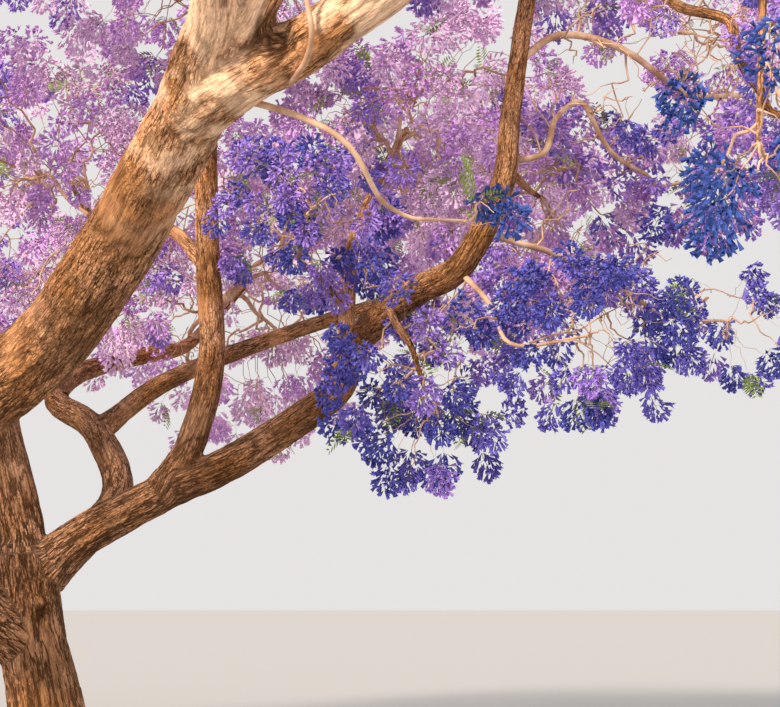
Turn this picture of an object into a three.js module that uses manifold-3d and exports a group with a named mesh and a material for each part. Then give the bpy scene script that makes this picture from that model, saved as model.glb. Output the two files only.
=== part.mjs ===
// A jacaranda tree in blossom: a low-forking trunk, long leaning boughs, and masses of twigs
// and blossom sprays at the boughs' tips. Millimetres, +Z up. The origin is the middle of the
// flat cut under the trunk, at ground level.

import * as THREE from "three";
import Module from "manifold-3d";

const wasm = await Module();
wasm.setup();

// Clear spaces.
const TOUCH_GAP = 0.3; // between a limb and what carries it
const MASS_GAP = 30; // from a mass to the plane that it shares with its neighbour
const LIMB_CLEARANCE = 25; // from a twig or a spray to any limb
const BRANCH_OVERLAP = 10; // that a spray may sink into its own mass's branches
const BALL_STEP = 70; // between the balls that a twig's clearance is measured from

// The trunk's foot.
const ROOT_FLARE = 140; // added to the radius at the ground
const FLARE_HEIGHT = 300; // height over which the flare dies away

// A limb swells where it leaves the limb that carries it.
const FORK_SWELL = 0.28;

// How finely the limbs are faceted.
const RING_SPACING = 500;
const FEWEST_RINGS = 4;
const THICK_LIMB = { radius: 200, sides: 10 };
const MIDDLING_LIMB = { radius: 60, sides: 8 };
const SLIM_LIMB_SIDES = 6;

// Each limb: the points that its middle runs through, and its radius at the foot and the tip.
// A limb whose swell is nought carries on in line with the limb that it leaves.
const LIMBS = {
  trunk: {
    run: [[0, 0, 0], [-50, 0, 690], [-160, 0, 1200], [-250, 0, 1780]],
    radius: [300, 250],
    swell: 0,
  },
  right_bough: {
    run: [[-120, 20, 1720], [200, 20, 2000], [830, 100, 2350], [1260, 150, 2540],
      [1720, 250, 2830], [2160, 300, 3160], [2260, 270, 3400]],
    radius: [165, 120],
  },
  middle_stem: {
    run: [[-200, 0, 1600], [-260, 60, 1950], [-490, 300, 2770], [-680, 550, 3400],
      [-950, 600, 4500], [-1000, 200, 5600], [-1000, -150, 6350]],
    radius: [200, 90],
  },
  near_bough_lower: {
    run: [[-150, 0, 1150], [-560, -230, 1430], [-950, -1000, 1730], [-880, -1900, 2030],
      [-480, -2700, 2310], [0, -3500, 2570]],
    radius: [250, 238],
    swell: 0,
  },
  near_bough_upper: {
    run: [[0, -3500, 2570], [770, -4300, 3020], [1400, -5400, 3570], [1760, -6200, 3890]],
    radius: [238, 175],
    swell: 0,
  },
  near_limb_right: {
    run: [[1700, -6080, 3790], [1950, -6330, 3890], [2200, -6500, 3970], [2480, -6700, 4100],
      [3100, -6800, 4500], [3900, -6500, 5000], [4250, -6200, 5300]],
    radius: [155, 80],
    swell: 0,
  },
  near_limb_up: {
    run: [[1620, -5980, 3800], [1740, -6330, 3990], [1830, -6600, 4110], [1860, -6950, 4350],
      [1840, -7150, 4950]],
    radius: [140, 80],
    swell: 0,
  },
  near_limb_back: {
    run: [[1780, -6200, 3880], [1930, -6420, 4020], [2060, -6600, 4200], [2250, -6200, 4900],
      [2100, -5200, 5800], [1850, -4200, 6350]],
    radius: [105, 65],
  },
  back_bough: {
    run: [[-100, 120, 1700], [300, 1100, 2350], [0, 1800, 2980], [-450, 2350, 3300],
      [-350, 3100, 3650], [200, 3750, 3900]],
    radius: [150, 85],
  },
  upright_limb: {
    run: [[830, 100, 2360], [1030, 200, 2770], [1160, 350, 3450], [1100, 550, 4300],
      [1060, 650, 5400], [1100, 900, 6150]],
    radius: [130, 85],
  },
  outer_limb: {
    run: [[2260, 270, 3400], [2330, 190, 3560], [2750, -800, 3770], [3110, -1300, 3910],
      [3400, -1500, 4450], [3470, -1450, 4980], [3610, -1300, 5890], [3720, -1150, 6250]],
    radius: [140, 52],
    swell: 0,
  },
  inner_limb: {
    run: [[2250, 290, 3440], [2250, 500, 3940], [2290, 800, 4450], [2410, 1100, 4850]],
    radius: [76, 52],
  },
  left_front_limb: {
    run: [[-920, -1650, 1950], [-1600, -1900, 2900], [-2600, -2200, 3700], [-3150, -2350, 4150]],
    radius: [130, 85],
  },
  front_left_limb: {
    run: [[-440, -2800, 2340], [-800, -3600, 3100], [-1300, -4400, 3900], [-1600, -4900, 4450]],
    radius: [120, 80],
  },
  left_limb: {
    run: [[-680, 550, 3350], [-1600, 800, 3900], [-2700, 950, 4300], [-3300, 1000, 4650]],
    radius: [120, 80],
  },
  back_left_limb: {
    run: [[-420, 2330, 3290], [-1000, 2800, 3900], [-1500, 3200, 4450]],
    radius: [85, 60],
  },
  back_right_limb: {
    run: [[20, 1780, 2960], [600, 2350, 3500], [1700, 3100, 4050], [2750, 3500, 4450]],
    radius: [100, 65],
  },
  upright_side_limb: {
    run: [[1110, 520, 4200], [750, 900, 4600], [350, 1400, 4700], [150, 1700, 4760]],
    radius: [60, 45],
  },
  high_right_branch: {
    run: [[3550, -1380, 5420], [3850, -1300, 5600], [4300, -1150, 5560], [4800, -850, 5350],
      [5300, -300, 5400], [5600, 400, 5600]],
    radius: [30, 20],
  },
  arching_right_branch: {
    run: [[3420, -1500, 4620], [3720, -1380, 4720], [3800, -1300, 5020], [4020, -1200, 5120],
      [4250, -1000, 4830], [4500, -870, 4690]],
    radius: [24, 18],
  },
  drooping_right_branch: {
    run: [[3640, -1270, 6000], [3950, -1500, 6350], [4370, -1800, 5950], [4600, -2000, 5620],
      [4930, -2100, 5480], [4990, -2100, 5220], [5150, -2000, 5030]],
    radius: [45, 34],
  },
  low_right_branch: {
    run: [[3110, -1300, 3860], [3290, -1400, 3640], [3380, -1500, 3450]],
    radius: [22, 18],
  },
  low_far_right_branch: {
    run: [[3290, -1440, 4120], [3750, -1200, 4020], [4200, -950, 3850], [4450, -860, 3720]],
    radius: [24, 18],
  },
  centre_branch: {
    run: [[2600, -560, 3720], [2620, -850, 3600], [2700, -980, 3450]],
    radius: [38, 30],
  },
  centre_left_branch: {
    run: [[2250, 450, 3850], [2050, 200, 4050], [1950, 20, 4120]],
    radius: [36, 28],
  },
  upper_right_branch: {
    run: [[3430, -1480, 4700], [3500, -1100, 4640], [3600, -800, 4620]],
    radius: [40, 30],
  },
  near_right_branch: {
    run: [[3100, -6800, 4500], [3700, -7050, 4850], [4150, -6850, 4800], [4250, -6520, 4420]],
    radius: [34, 24],
  },
  near_arching_branch: {
    run: [[1880, -6200, 3830], [2180, -6300, 3710], [2400, -6230, 3600], [2560, -6050, 3390],
      [2670, -5950, 3320], [2780, -5880, 3330]],
    radius: [17, 9],
  },
};

// Each blossom mass: the limb whose tip carries it, its middle, its half sizes along x, y and z,
// how many sprays it bears and how long they are.
const MASSES = {
  crown_top_left: {
    limb: "middle_stem", middle: [-1000, -400, 7600], half: [2300, 2250, 1350],
    sprays: 19, spray: 880,
  },
  crown_top_back: {
    limb: "upright_limb", middle: [1150, 1500, 7350], half: [2050, 2050, 1300],
    sprays: 18, spray: 860,
  },
  crown_top_front: {
    limb: "near_limb_back", middle: [1600, -3100, 7400], half: [2200, 2150, 1250],
    sprays: 19, spray: 880,
  },
  crown_top_right: {
    limb: "outer_limb", middle: [3950, -750, 7150], half: [1900, 1950, 1150],
    sprays: 17, spray: 820,
  },
  near_mass: {
    limb: "near_limb_up", middle: [1800, -7150, 5950], half: [1900, 1350, 1100],
    sprays: 17, spray: 780,
  },
  near_right_top_mass: {
    limb: "near_limb_right", middle: [4700, -5500, 6200], half: [1850, 1850, 1150],
    sprays: 18, spray: 820,
  },
  near_right_mass: {
    limb: "near_right_branch", middle: [4230, -6420, 3560], half: [400, 450, 600],
    sprays: 9, spray: 360,
  },
  near_hanging_mass: {
    limb: "near_arching_branch", middle: [2980, -5800, 3330], half: [250, 280, 220],
    sprays: 5, spray: 240,
  },
  front_left_mass: {
    limb: "front_left_limb", middle: [-1850, -5350, 5650], half: [2100, 1950, 1350],
    sprays: 19, spray: 880,
  },
  left_front_mass: {
    limb: "left_front_limb", middle: [-4250, -2650, 5250], half: [2100, 2050, 1450],
    sprays: 19, spray: 880,
  },
  left_mass: {
    limb: "left_limb", middle: [-4600, 1000, 5600], half: [2050, 2200, 1450],
    sprays: 18, spray: 880,
  },
  back_left_mass: {
    limb: "back_left_limb", middle: [-2400, 4000, 5800], half: [2100, 1950, 1600],
    sprays: 19, spray: 880,
  },
  back_mass: {
    limb: "back_bough", middle: [1050, 4750, 4750], half: [2300, 1700, 1850],
    sprays: 18, spray: 850,
  },
  back_right_mass: {
    limb: "back_right_limb", middle: [3250, 4200, 5450], half: [1650, 1800, 1450],
    sprays: 19, spray: 820,
  },
  right_mass: {
    limb: "high_right_branch", middle: [5900, 1600, 6450], half: [1500, 1650, 1100],
    sprays: 16, spray: 760,
  },
  drooping_right_mass: {
    limb: "drooping_right_branch", middle: [5900, -2150, 4950], half: [950, 1250, 900],
    sprays: 14, spray: 620,
  },
  middle_back_mass: {
    limb: "upright_side_limb", middle: [-350, 2400, 5300], half: [1700, 1500, 1650],
    sprays: 16, spray: 740,
  },
  inner_top_mass: {
    limb: "inner_limb", middle: [2750, 2000, 5750], half: [1650, 1450, 1150],
    sprays: 17, spray: 740,
  },
  upper_right_mass: {
    limb: "upper_right_branch", middle: [3800, -150, 4650], half: [900, 800, 800],
    sprays: 12, spray: 520,
  },
  arching_right_mass: {
    limb: "arching_right_branch", middle: [5050, -700, 4720], half: [650, 650, 480],
    sprays: 8, spray: 400,
  },
  centre_left_mass: {
    limb: "centre_left_branch", middle: [1950, -380, 4420], half: [720, 600, 680],
    sprays: 11, spray: 430,
  },
  centre_mass: {
    limb: "centre_branch", middle: [2850, -950, 3060], half: [720, 640, 800],
    sprays: 12, spray: 440,
  },
  low_right_mass: {
    limb: "low_right_branch", middle: [4020, -1450, 3380], half: [740, 680, 620],
    sprays: 11, spray: 430,
  },
  low_far_right_mass: {
    limb: "low_far_right_branch", middle: [5120, -780, 3580], half: [720, 680, 480],
    sprays: 9, spray: 400,
  },
};

// How a mass grows.
const STEM_PARTS = 3;
const STEM_SIDES = 5;
const STEM_BEND = 0.45; // of the way to the middle, where the stem turns off the limb's line
const STEM_TIP = 0.5; // the stem's last radius, of its first
const BRANCH_START = 0.4; // of the stem's length, where the first branch leaves it
const BRANCH_END = 0.95; // where the last one does
const BRANCH_SHARE = 0.25; // branches for each spray
const BRANCH_REACH = 0.52; // of the way from the middle to the outline
const BRANCH_SWAY = 0.3; // how far its bend strays, of its length
const BRANCH_TAPER = [0.8, 0.64, 0.44]; // its radii, of the stem's last
const TWIG_SHARE = 0.22; // a twig's radius, of the stem's last
const TWIG_SIDES = 3;
const NEAR_FORK = 0.3; // the share of a twig next to its fork, where no clearance is asked
const SPRAY_REACHES = [0.97, 0.85, 0.73, 0.6, 0.46]; // the places tried for a spray, outline first
const SPRAY_STRAY = 0.3; // from its even place, of the way out
const SPRAY_LENGTHS = [0.8, 1.15]; // the shortest and longest, of the mass's spray length
const SPRAY_LIFTS = [-0.7, 0.35]; // from hanging to rising, added to the way out
const INNER_EVERY = 4; // each such spray starts further in, to fill the mass
const SPRAY_GIRTH = 0.31; // its greatest radius, of its length
const SPRAY_BELLY = 0.45; // where it is widest, from its root
const SPRAY_SPACING = 0.8; // between two sprays' middle lines, of their radii together
const SPRAY_PLACES = [0.15, 0.3, 0.45, 0.6, 0.75, 0.9]; // where its clearances are measured
const BELLY_POINTS = 6; // round its belly, that must lie in the mass's space
const GOLDEN_TURN = Math.PI * (3 - Math.sqrt(5));
const FUSE_TOLERANCE = 0.4; // edges shorter than this are closed up after fusing
const FIRST_SEED = 4021;
const SEED_STEP = 97;

const vec = (p) => new THREE.Vector3(p[0], p[1], p[2]);
const mix = (a, b, t) => a + (b - a) * t;

// The same draws for the same seed, from 0 to 1.
function seededDraws(seed) {
  let state = seed;
  return () => {
    state = (state * 16807) % 2147483647;
    return state / 2147483647;
  };
}

// A closed solid from its corners and its faces' corner numbers.
function solidFrom(corners, faces) {
  const vertProperties = new Float32Array(corners.flatMap((p) => [p.x, p.y, p.z]));
  const triVerts = new Uint32Array(faces.flat());
  return new wasm.Manifold(new wasm.Mesh({ numProp: 3, vertProperties, triVerts }));
}

// Any direction that no limb runs along, to set out the corners of a tube from.
const TUBE_SIDE = [1, 0.37, 0.21];

// A closed tube of flat faces round a row of points, with the radius given at each. It ends in a
// point where the last radius is nought.
function tubeSolid(points, radii, sides) {
  const pointed = radii[radii.length - 1] === 0;
  const last = points.length - 1;
  const corners = [];
  const faces = [];
  const tangent = new THREE.Vector3();
  const side = vec(TUBE_SIDE);
  points.forEach((point, i) => {
    tangent.subVectors(points[Math.min(i + 1, last)], points[Math.max(i - 1, 0)]).normalize();
    side.addScaledVector(tangent, -side.dot(tangent)).normalize();
    const across = tangent.clone().cross(side);
    for (let k = 0; k < sides; k += 1) {
      const turn = (2 * Math.PI * k) / sides;
      corners.push(
        point
          .clone()
          .addScaledVector(side, radii[i] * Math.cos(turn))
          .addScaledVector(across, radii[i] * Math.sin(turn)),
      );
    }
  });
  const top = last * sides;
  for (let i = 0; i < last; i += 1) {
    for (let k = 0; k < sides; k += 1) {
      const a = i * sides + k;
      const b = i * sides + ((k + 1) % sides);
      if (pointed && i === last - 1) {
        faces.push([a, b, top]);
      } else {
        faces.push([a, b, b + sides], [a, b + sides, a + sides]);
      }
    }
  }
  for (let k = 1; k < sides - 1; k += 1) {
    faces.push([0, k + 1, k]);
    if (!pointed) {
      faces.push([top, top + k, top + k + 1]);
    }
  }
  return solidFrom(pointed ? corners.slice(0, top + 1) : corners, faces);
}

// A limb's middle line and radii at evenly stepped rings.
function limbRings(name) {
  const { run, radius, swell = FORK_SWELL } = LIMBS[name];
  const curve = new THREE.CatmullRomCurve3(run.map(vec), false, "catmullrom", 0.5);
  const length = curve.getLength();
  const count = Math.max(FEWEST_RINGS, Math.round(length / RING_SPACING));
  const points = [];
  const radii = [];
  for (let i = 0; i <= count; i += 1) {
    const t = i / count;
    const point = curve.getPoint(t);
    const collar = 1 + swell * Math.exp((-t * length) / (2 * radius[0]));
    const flare = name === "trunk" ? ROOT_FLARE * Math.exp(-point.z / FLARE_HEIGHT) : 0;
    points.push(point);
    radii.push(mix(radius[0], radius[1], t) * collar + flare);
  }
  return { points, radii };
}

function limbSides(radius) {
  if (radius > THICK_LIMB.radius) {
    return THICK_LIMB.sides;
  }
  return radius > MIDDLING_LIMB.radius ? MIDDLING_LIMB.sides : SLIM_LIMB_SIDES;
}

// A limb as a solid, grown all round by the given amount.
function limbSolid({ points, radii }, grown) {
  const last = points.length - 1;
  const sides = limbSides(radii[0]);
  const ends = points.map((p) => p.clone());
  ends[0].addScaledVector(points[1].clone().sub(points[0]).normalize(), -grown);
  ends[last].addScaledVector(points[last].clone().sub(points[last - 1]).normalize(), grown);
  const wider = radii.map((r) => r + grown / Math.cos(Math.PI / sides));
  return tubeSolid(ends, wider, sides);
}

// The biggest single body of a solid: scraps and sealed hollows are dropped.
function mainBody(solid) {
  const bodies = solid.decompose();
  return bodies.reduce((a, b) => (b.volume() > a.volume() ? b : a));
}

const rings = Object.fromEntries(Object.keys(LIMBS).map((name) => [name, limbRings(name)]));

// The trunk starts straight up, so that its lowest ring is level and lies flat on the ground.
rings.trunk.points[1].setX(0).setY(0);

// Every limb, its foot cut clear of the limbs before it.
function limbSolids() {
  const solids = {};
  const before = [];
  for (const name of Object.keys(LIMBS)) {
    let solid = limbSolid(rings[name], 0);
    for (const other of before) {
      solid = solid.subtract(other);
    }
    solids[name] = mainBody(solid);
    before.push(limbSolid(rings[name], TOUCH_GAP));
  }
  return solids;
}

// The stretches between a way's points, each with its greater radius.
function stretches({ points, radii }) {
  return points.slice(1).map((end, i) => ({
    start: points[i],
    along: end.clone().sub(points[i]),
    radius: Math.max(radii[i], radii[i + 1]),
  }));
}

const limbStretches = Object.values(rings).flatMap(stretches);

function nearestOn({ start, along }, point) {
  const share = point.clone().sub(start).dot(along) / along.lengthSq();
  return start.clone().addScaledVector(along, THREE.MathUtils.clamp(share, 0, 1));
}

// Whether balls round some points keep the given distance from every stretch.
function keepsClear(balls, ways, distance) {
  return balls.every(({ point, radius }) =>
    ways.every(
      (way) => nearestOn(way, point).distanceTo(point) > way.radius + radius + distance,
    ),
  );
}

// Balls along a straight twig, near enough together to find a limb between them.
function twigBalls(start, end, radius) {
  const count = Math.ceil(start.distanceTo(end) / BALL_STEP) + 1;
  return Array.from({ length: count }, (_, i) => ({
    point: start.clone().lerp(end, i / (count - 1)),
    radius,
  }));
}

// A mass's space: its ellipsoid, cut by a plane between it and each neighbour.
function massSpace(name) {
  const own = MASSES[name];
  const middle = vec(own.middle);
  const half = vec(own.half);
  const size = (own.half[0] + own.half[1] + own.half[2]) / 3;
  const planes = Object.entries(MASSES)
    .filter(([other]) => other !== name)
    .map(([, { middle: at, half: their }]) => {
      const normal = vec(at).sub(middle);
      const apart = normal.length();
      const theirSize = (their[0] + their[1] + their[2]) / 3;
      const share = (apart * apart + size * size - theirSize * theirSize) / (2 * apart);
      return { normal: normal.normalize(), limit: share - MASS_GAP };
    });
  const reach = (direction) =>
    planes.reduce(
      (least, { normal, limit }) => {
        const toward = direction.dot(normal);
        return toward > 0 ? Math.min(least, limit / toward) : least;
      },
      1 / direction.clone().divide(half).length(),
    );
  const holds = (point) => {
    const from = point.clone().sub(middle);
    const within = planes.every(({ normal, limit }) => from.dot(normal) <= limit);
    return within && from.divide(half).length() <= 1;
  };
  return { middle, reach, holds };
}

// The k-th of an even spread of directions.
function spreadDirection(k, count, phase) {
  const z = 1 - (2 * k + 1) / count;
  const across = Math.sqrt(1 - z * z);
  const turn = k * GOLDEN_TURN + phase;
  return new THREE.Vector3(across * Math.cos(turn), across * Math.sin(turn), z);
}

// The stem: from the limb's tip, the way the limb points, to the mass's middle.
function growStem(limb, middle) {
  const { points, radii } = rings[limb];
  const last = points.length - 1;
  const heading = points[last].clone().sub(points[last - 1]).normalize();
  const foot = points[last].clone().addScaledVector(heading, TOUCH_GAP);
  const bend = foot.clone().addScaledVector(heading, foot.distanceTo(middle) * STEM_BEND);
  const bow = new THREE.QuadraticBezierCurve3(foot, bend, middle);
  const stem = bow.getPoints(STEM_PARTS);
  const step = foot.distanceTo(stem[1]);
  stem[1].copy(foot).addScaledVector(heading, step);
  const taper = (_, i) => radii[last] * mix(1, STEM_TIP, i / STEM_PARTS);
  return { points: stem, radii: stem.map(taper) };
}

// The branches: from the stem's upper part out towards the outline, each with a bend.
function growBranches(stem, space, count, draw) {
  const phase = draw() * 2 * Math.PI;
  const branches = [];
  for (let k = 0; k < count; k += 1) {
    const direction = spreadDirection(k, count, phase);
    const along = mix(BRANCH_START, BRANCH_END, (k + draw()) / count) * STEM_PARTS;
    const part = Math.floor(along);
    const leaves = stem.points[part].clone().lerp(stem.points[part + 1], along - part);
    const tip = space.middle.clone().addScaledVector(direction, space.reach(direction) * BRANCH_REACH);
    const sway = new THREE.Vector3(draw() - 0.5, draw() - 0.5, draw() - 0.2);
    const stray = leaves.distanceTo(tip) * BRANCH_SWAY;
    const bend = leaves.clone().lerp(tip, 0.5).addScaledVector(sway, stray);
    const radii = BRANCH_TAPER.map((share) => stem.radii[STEM_PARTS] * share);
    const outer = leaves.clone().lerp(bend, NEAR_FORK);
    const balls = [...twigBalls(outer, bend, radii[0]), ...twigBalls(bend, tip, radii[1])];
    const fits =
      [bend, tip].every(space.holds) && keepsClear(balls, limbStretches, LIMB_CLEARANCE);
    if (fits) {
      branches.push({ points: [leaves, bend, tip], radii });
    }
  }
  return branches;
}

// Balls that fill a spray, from just past its root to just short of its tip.
function sprayBalls(root, axis, length) {
  return SPRAY_PLACES.map((share) => {
    const narrowing = share < SPRAY_BELLY ? share / SPRAY_BELLY : (1 - share) / (1 - SPRAY_BELLY);
    return {
      point: root.clone().addScaledVector(axis, share * length),
      radius: length * SPRAY_GIRTH * narrowing,
    };
  });
}

// Whether two sprays keep apart.
function spraysApart(balls, others) {
  return balls.every((a) =>
    others.every((b) => a.point.distanceTo(b.point) > (a.radius + b.radius) * SPRAY_SPACING),
  );
}

// The sprays, each with its twig, placed evenly round the mass and skipped where they don't fit.
function growSprays(mass, stem, branches, twigRadius, space, draw) {
  const ways = [...stretches(stem).slice(1), ...branches.flatMap(stretches)];
  const phase = draw() * 2 * Math.PI;
  const sprays = [];
  for (let k = 0; k < mass.sprays; k += 1) {
    const sway = new THREE.Vector3(draw() - 0.5, draw() - 0.5, draw() - 0.5);
    const outward = spreadDirection(k, mass.sprays, phase);
    outward.addScaledVector(sway, SPRAY_STRAY).normalize();
    const length = mass.spray * mix(...SPRAY_LENGTHS, draw());
    const axis = outward.clone();
    axis.z += mix(...SPRAY_LIFTS, draw());
    axis.normalize();
    for (const share of SPRAY_REACHES.slice(k % INNER_EVERY === 0 ? 2 : 0)) {
      const tip = space.middle.clone().addScaledVector(outward, space.reach(outward) * share);
      const root = tip.clone().addScaledVector(axis, -length);
      const belly = root.clone().addScaledVector(axis, length * SPRAY_BELLY);
      const girth = length * SPRAY_GIRTH;
      const round = Array.from({ length: BELLY_POINTS }, (_, i) =>
        belly.clone().addScaledVector(spreadDirection(i, BELLY_POINTS, 0), girth),
      );
      const balls = sprayBalls(root, axis, length);
      const fork = ways
        .map((way) => nearestOn(way, root))
        .reduce((a, b) => (b.distanceTo(root) < a.distanceTo(root) ? b : a));
      const twig = twigBalls(fork.clone().lerp(root, NEAR_FORK), root, twigRadius);
      const fits =
        [root, tip, ...round].every(space.holds) &&
        sprays.every((other) => spraysApart(balls, other.balls)) &&
        keepsClear(balls, ways, -BRANCH_OVERLAP) &&
        keepsClear([...balls, ...twig], limbStretches, LIMB_CLEARANCE);
      if (fits) {
        sprays.push({ points: [fork, root, belly, tip], girth, balls });
        break;
      }
    }
  }
  return sprays;
}

// A mass as one solid: stem, branches, twigs and sprays fused.
function massSolid(name, seed) {
  const mass = MASSES[name];
  const draw = seededDraws(seed);
  const space = massSpace(name);
  const stem = growStem(mass.limb, space.middle);
  const branches = growBranches(stem, space, Math.round(mass.sprays * BRANCH_SHARE), draw);
  const twigRadius = stem.radii[STEM_PARTS] * TWIG_SHARE;
  const sprays = growSprays(mass, stem, branches, twigRadius, space, draw);
  const solids = [
    tubeSolid(stem.points, stem.radii, STEM_SIDES),
    ...branches.map(({ points, radii }) => tubeSolid(points, radii, TWIG_SIDES)),
    ...sprays.map(({ points, girth }) =>
      tubeSolid(points, [twigRadius, twigRadius, girth, 0], TWIG_SIDES),
    ),
  ];
  return mainBody(wasm.Manifold.union(solids)).simplify(FUSE_TOLERANCE);
}

const BARK = new THREE.MeshStandardMaterial({ color: 0x8b644b, roughness: 0.92, metalness: 0 });
const BLOSSOM = new THREE.MeshStandardMaterial({ color: 0x8e7ad6, roughness: 0.7, metalness: 0 });

// A named mesh of a solid, with a material of its own.
function meshOf(name, solid, material) {
  const { vertProperties, triVerts } = solid.getMesh();
  const geometry = new THREE.BufferGeometry();
  geometry.setAttribute("position", new THREE.BufferAttribute(vertProperties, 3));
  geometry.setIndex(new THREE.BufferAttribute(triVerts, 1));
  const mesh = new THREE.Mesh(geometry.toNonIndexed(), material.clone());
  mesh.geometry.computeVertexNormals();
  mesh.name = name;
  return mesh;
}

const tree = new THREE.Group();

for (const [name, solid] of Object.entries(limbSolids())) {
  tree.add(meshOf(name, solid, BARK));
}
Object.keys(MASSES).forEach((name, i) => {
  tree.add(meshOf(name, massSolid(name, FIRST_SEED + SEED_STEP * i), BLOSSOM));
});

export default tree;
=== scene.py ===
# %% [markdown]
# A jacaranda tree in full blossom.
#
# The tree's construction is ready made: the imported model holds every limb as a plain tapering
# solid, and every mass of blossom as a few faceted sprays on a stem. This lesson dresses it. The
# limbs get bark with real relief, and the masses are grown again by the same rule, out to the
# finest twigs, with some hundred and fifty thousand trumpet-shaped flowers.
#
# First the frame is loaded. Everything is in metres, with +Z up and the origin in the middle of
# the flat cut under the trunk.

# %% Load the tree's frame
import math
from typing import NamedTuple

import bpy
import numpy as np
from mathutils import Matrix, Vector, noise


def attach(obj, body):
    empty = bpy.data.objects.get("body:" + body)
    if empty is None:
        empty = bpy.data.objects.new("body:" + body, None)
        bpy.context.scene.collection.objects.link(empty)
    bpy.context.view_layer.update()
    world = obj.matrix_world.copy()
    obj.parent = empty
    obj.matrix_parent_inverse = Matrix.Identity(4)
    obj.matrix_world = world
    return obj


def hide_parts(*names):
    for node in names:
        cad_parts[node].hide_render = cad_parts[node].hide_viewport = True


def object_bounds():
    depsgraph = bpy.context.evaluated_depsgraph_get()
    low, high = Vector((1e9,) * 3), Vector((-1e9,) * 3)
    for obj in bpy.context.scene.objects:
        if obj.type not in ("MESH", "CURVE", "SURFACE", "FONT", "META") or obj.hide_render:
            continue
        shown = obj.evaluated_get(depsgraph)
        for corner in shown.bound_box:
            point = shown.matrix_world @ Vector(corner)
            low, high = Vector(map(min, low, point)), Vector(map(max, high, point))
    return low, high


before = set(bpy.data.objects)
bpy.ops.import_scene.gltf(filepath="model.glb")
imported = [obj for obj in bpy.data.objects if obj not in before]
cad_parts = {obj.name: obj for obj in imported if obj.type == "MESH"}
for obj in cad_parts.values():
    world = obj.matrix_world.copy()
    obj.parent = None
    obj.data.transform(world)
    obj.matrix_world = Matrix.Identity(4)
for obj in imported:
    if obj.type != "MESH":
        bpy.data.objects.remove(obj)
cad_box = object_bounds()
bpy.ops.object.select_all(action="DESELECT")
print(len(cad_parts), "solids, from", tuple(cad_box[0]), "to", tuple(cad_box[1]))

# %% [markdown]
# The camera stands on the footpath in front of the tree, at eye level, and looks along it. It is
# tipped up a little, which puts the horizon low in the picture. A long lens flattens the boughs
# against each other, as it does in a photograph taken from a distance.

# %% The camera
EYE = (2.6, -14.4, 1.6)
TIPPED_UP = math.radians(7.26)
LENS = 85.0
FILM_WIDTH = 36.0
FARTHEST = 400.0

bpy.ops.object.camera_add(location=EYE, rotation=(math.pi / 2 + TIPPED_UP, 0, 0))
camera = bpy.context.object
camera.name = "eye_level_camera"
camera.data.lens = LENS
camera.data.sensor_width = FILM_WIDTH
camera.data.clip_end = FARTHEST
bpy.context.scene.camera = camera
print("the camera is", round(-EYE[1], 1), "m in front of the trunk")

# %% [markdown]
# A material is a set of nodes wired together. This kit adds the nodes that the lesson needs. An
# input takes a value, or else the output of another node. A colour is three numbers, or one for
# a grey.

# %% A small kit for materials
def rgba(colour):
    return (*([colour] * 3 if isinstance(colour, (int, float)) else colour), 1)


class Paint:
    """A material, with ways to add nodes to it."""

    def __init__(self, name, colour, roughness, shine):
        self.material = bpy.data.materials.new(name)
        self.material.use_nodes = True
        self.material.diffuse_color = rgba(colour)
        self.nodes = self.material.node_tree.nodes
        self.shader = self.nodes["Principled BSDF"]
        self.fill(self.shader, {"Base Color": rgba(colour), "Roughness": roughness})
        self.fill(self.shader, {"Specular IOR Level": shine})

    def fill(self, node, inputs):
        for key, value in inputs.items():
            if isinstance(value, bpy.types.NodeSocket):
                self.material.node_tree.links.new(value, node.inputs[key])
            else:
                node.inputs[key].default_value = value

    def add(self, kind, inputs, **settings):
        """A new node's outputs."""
        node = self.nodes.new("ShaderNode" + kind)
        for setting, value in settings.items():
            setattr(node, setting, value)
        self.fill(node, inputs)
        return node.outputs

    def noise(self, source, scale, stretch, detail, roughness=0.55):
        """Noise on coordinates that are stretched along the limb."""
        place = self.add("Mapping", {"Vector": source, "Scale": stretch})["Vector"]
        sizes = {"Scale": scale, "Detail": detail, "Roughness": roughness}
        return self.add("TexNoise", {"Vector": place, **sizes})["Fac"]

    def ramp(self, value, *stops):
        """Colours that blend from stop to stop as the value grows."""
        node = self.nodes.new("ShaderNodeValToRGB")
        elements = node.color_ramp.elements
        for element, (position, colour) in zip(elements, (stops[0], stops[-1])):
            element.position = position
            element.color = rgba(colour)
        for position, colour in stops[1:-1]:
            elements.new(position).color = rgba(colour)
        self.fill(node, {"Fac": value})
        return node.outputs["Color"]

    def mix(self, share, first, second, blend="MIX"):
        first, second = (
            part if isinstance(part, bpy.types.NodeSocket) else rgba(part) for part in (first, second)
        )
        return self.add("Mix", {0: share, 6: first, 7: second}, data_type="RGBA", blend_type=blend)[2]

    def span(self, value, low, high, low_result=0.0, high_result=1.0):
        """The value, moved from between low and high to between the two results."""
        span = {"From Min": low, "From Max": high, "To Min": low_result, "To Max": high_result}
        return self.add("MapRange", {"Value": value, **span})["Result"]


print("the kit adds noises, ramps, mixes and spans")

# %% [markdown]
# The studio is plain: a pale floor, a pale surround that lights the shade, and two lamps. A warm
# one stands for a low afternoon sun from the left, and a weak, broad and cool one fills the other
# side. They are distant lamps with soft edges, and so they light a tree of this size evenly, which
# an area lamp near one end of it would not.

# %% The studio
FLOOR_SIZE = 240.0
FLOOR_COLOUR = (0.44, 0.435, 0.425)
SURROUND_COLOUR = (0.97, 0.94, 0.94)
SURROUND_STRENGTH = 0.82
HALF_SHINE = 0.5
LAMPS = {
    "warm_key": {"strength": 4.9, "colour": (1.0, 0.86, 0.70), "spread": 10, "tilt": 63, "turn": -38},
    "cool_fill": {"strength": 0.9, "colour": (0.90, 0.92, 1.0), "spread": 40, "tilt": 66, "turn": 40},
}

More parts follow.
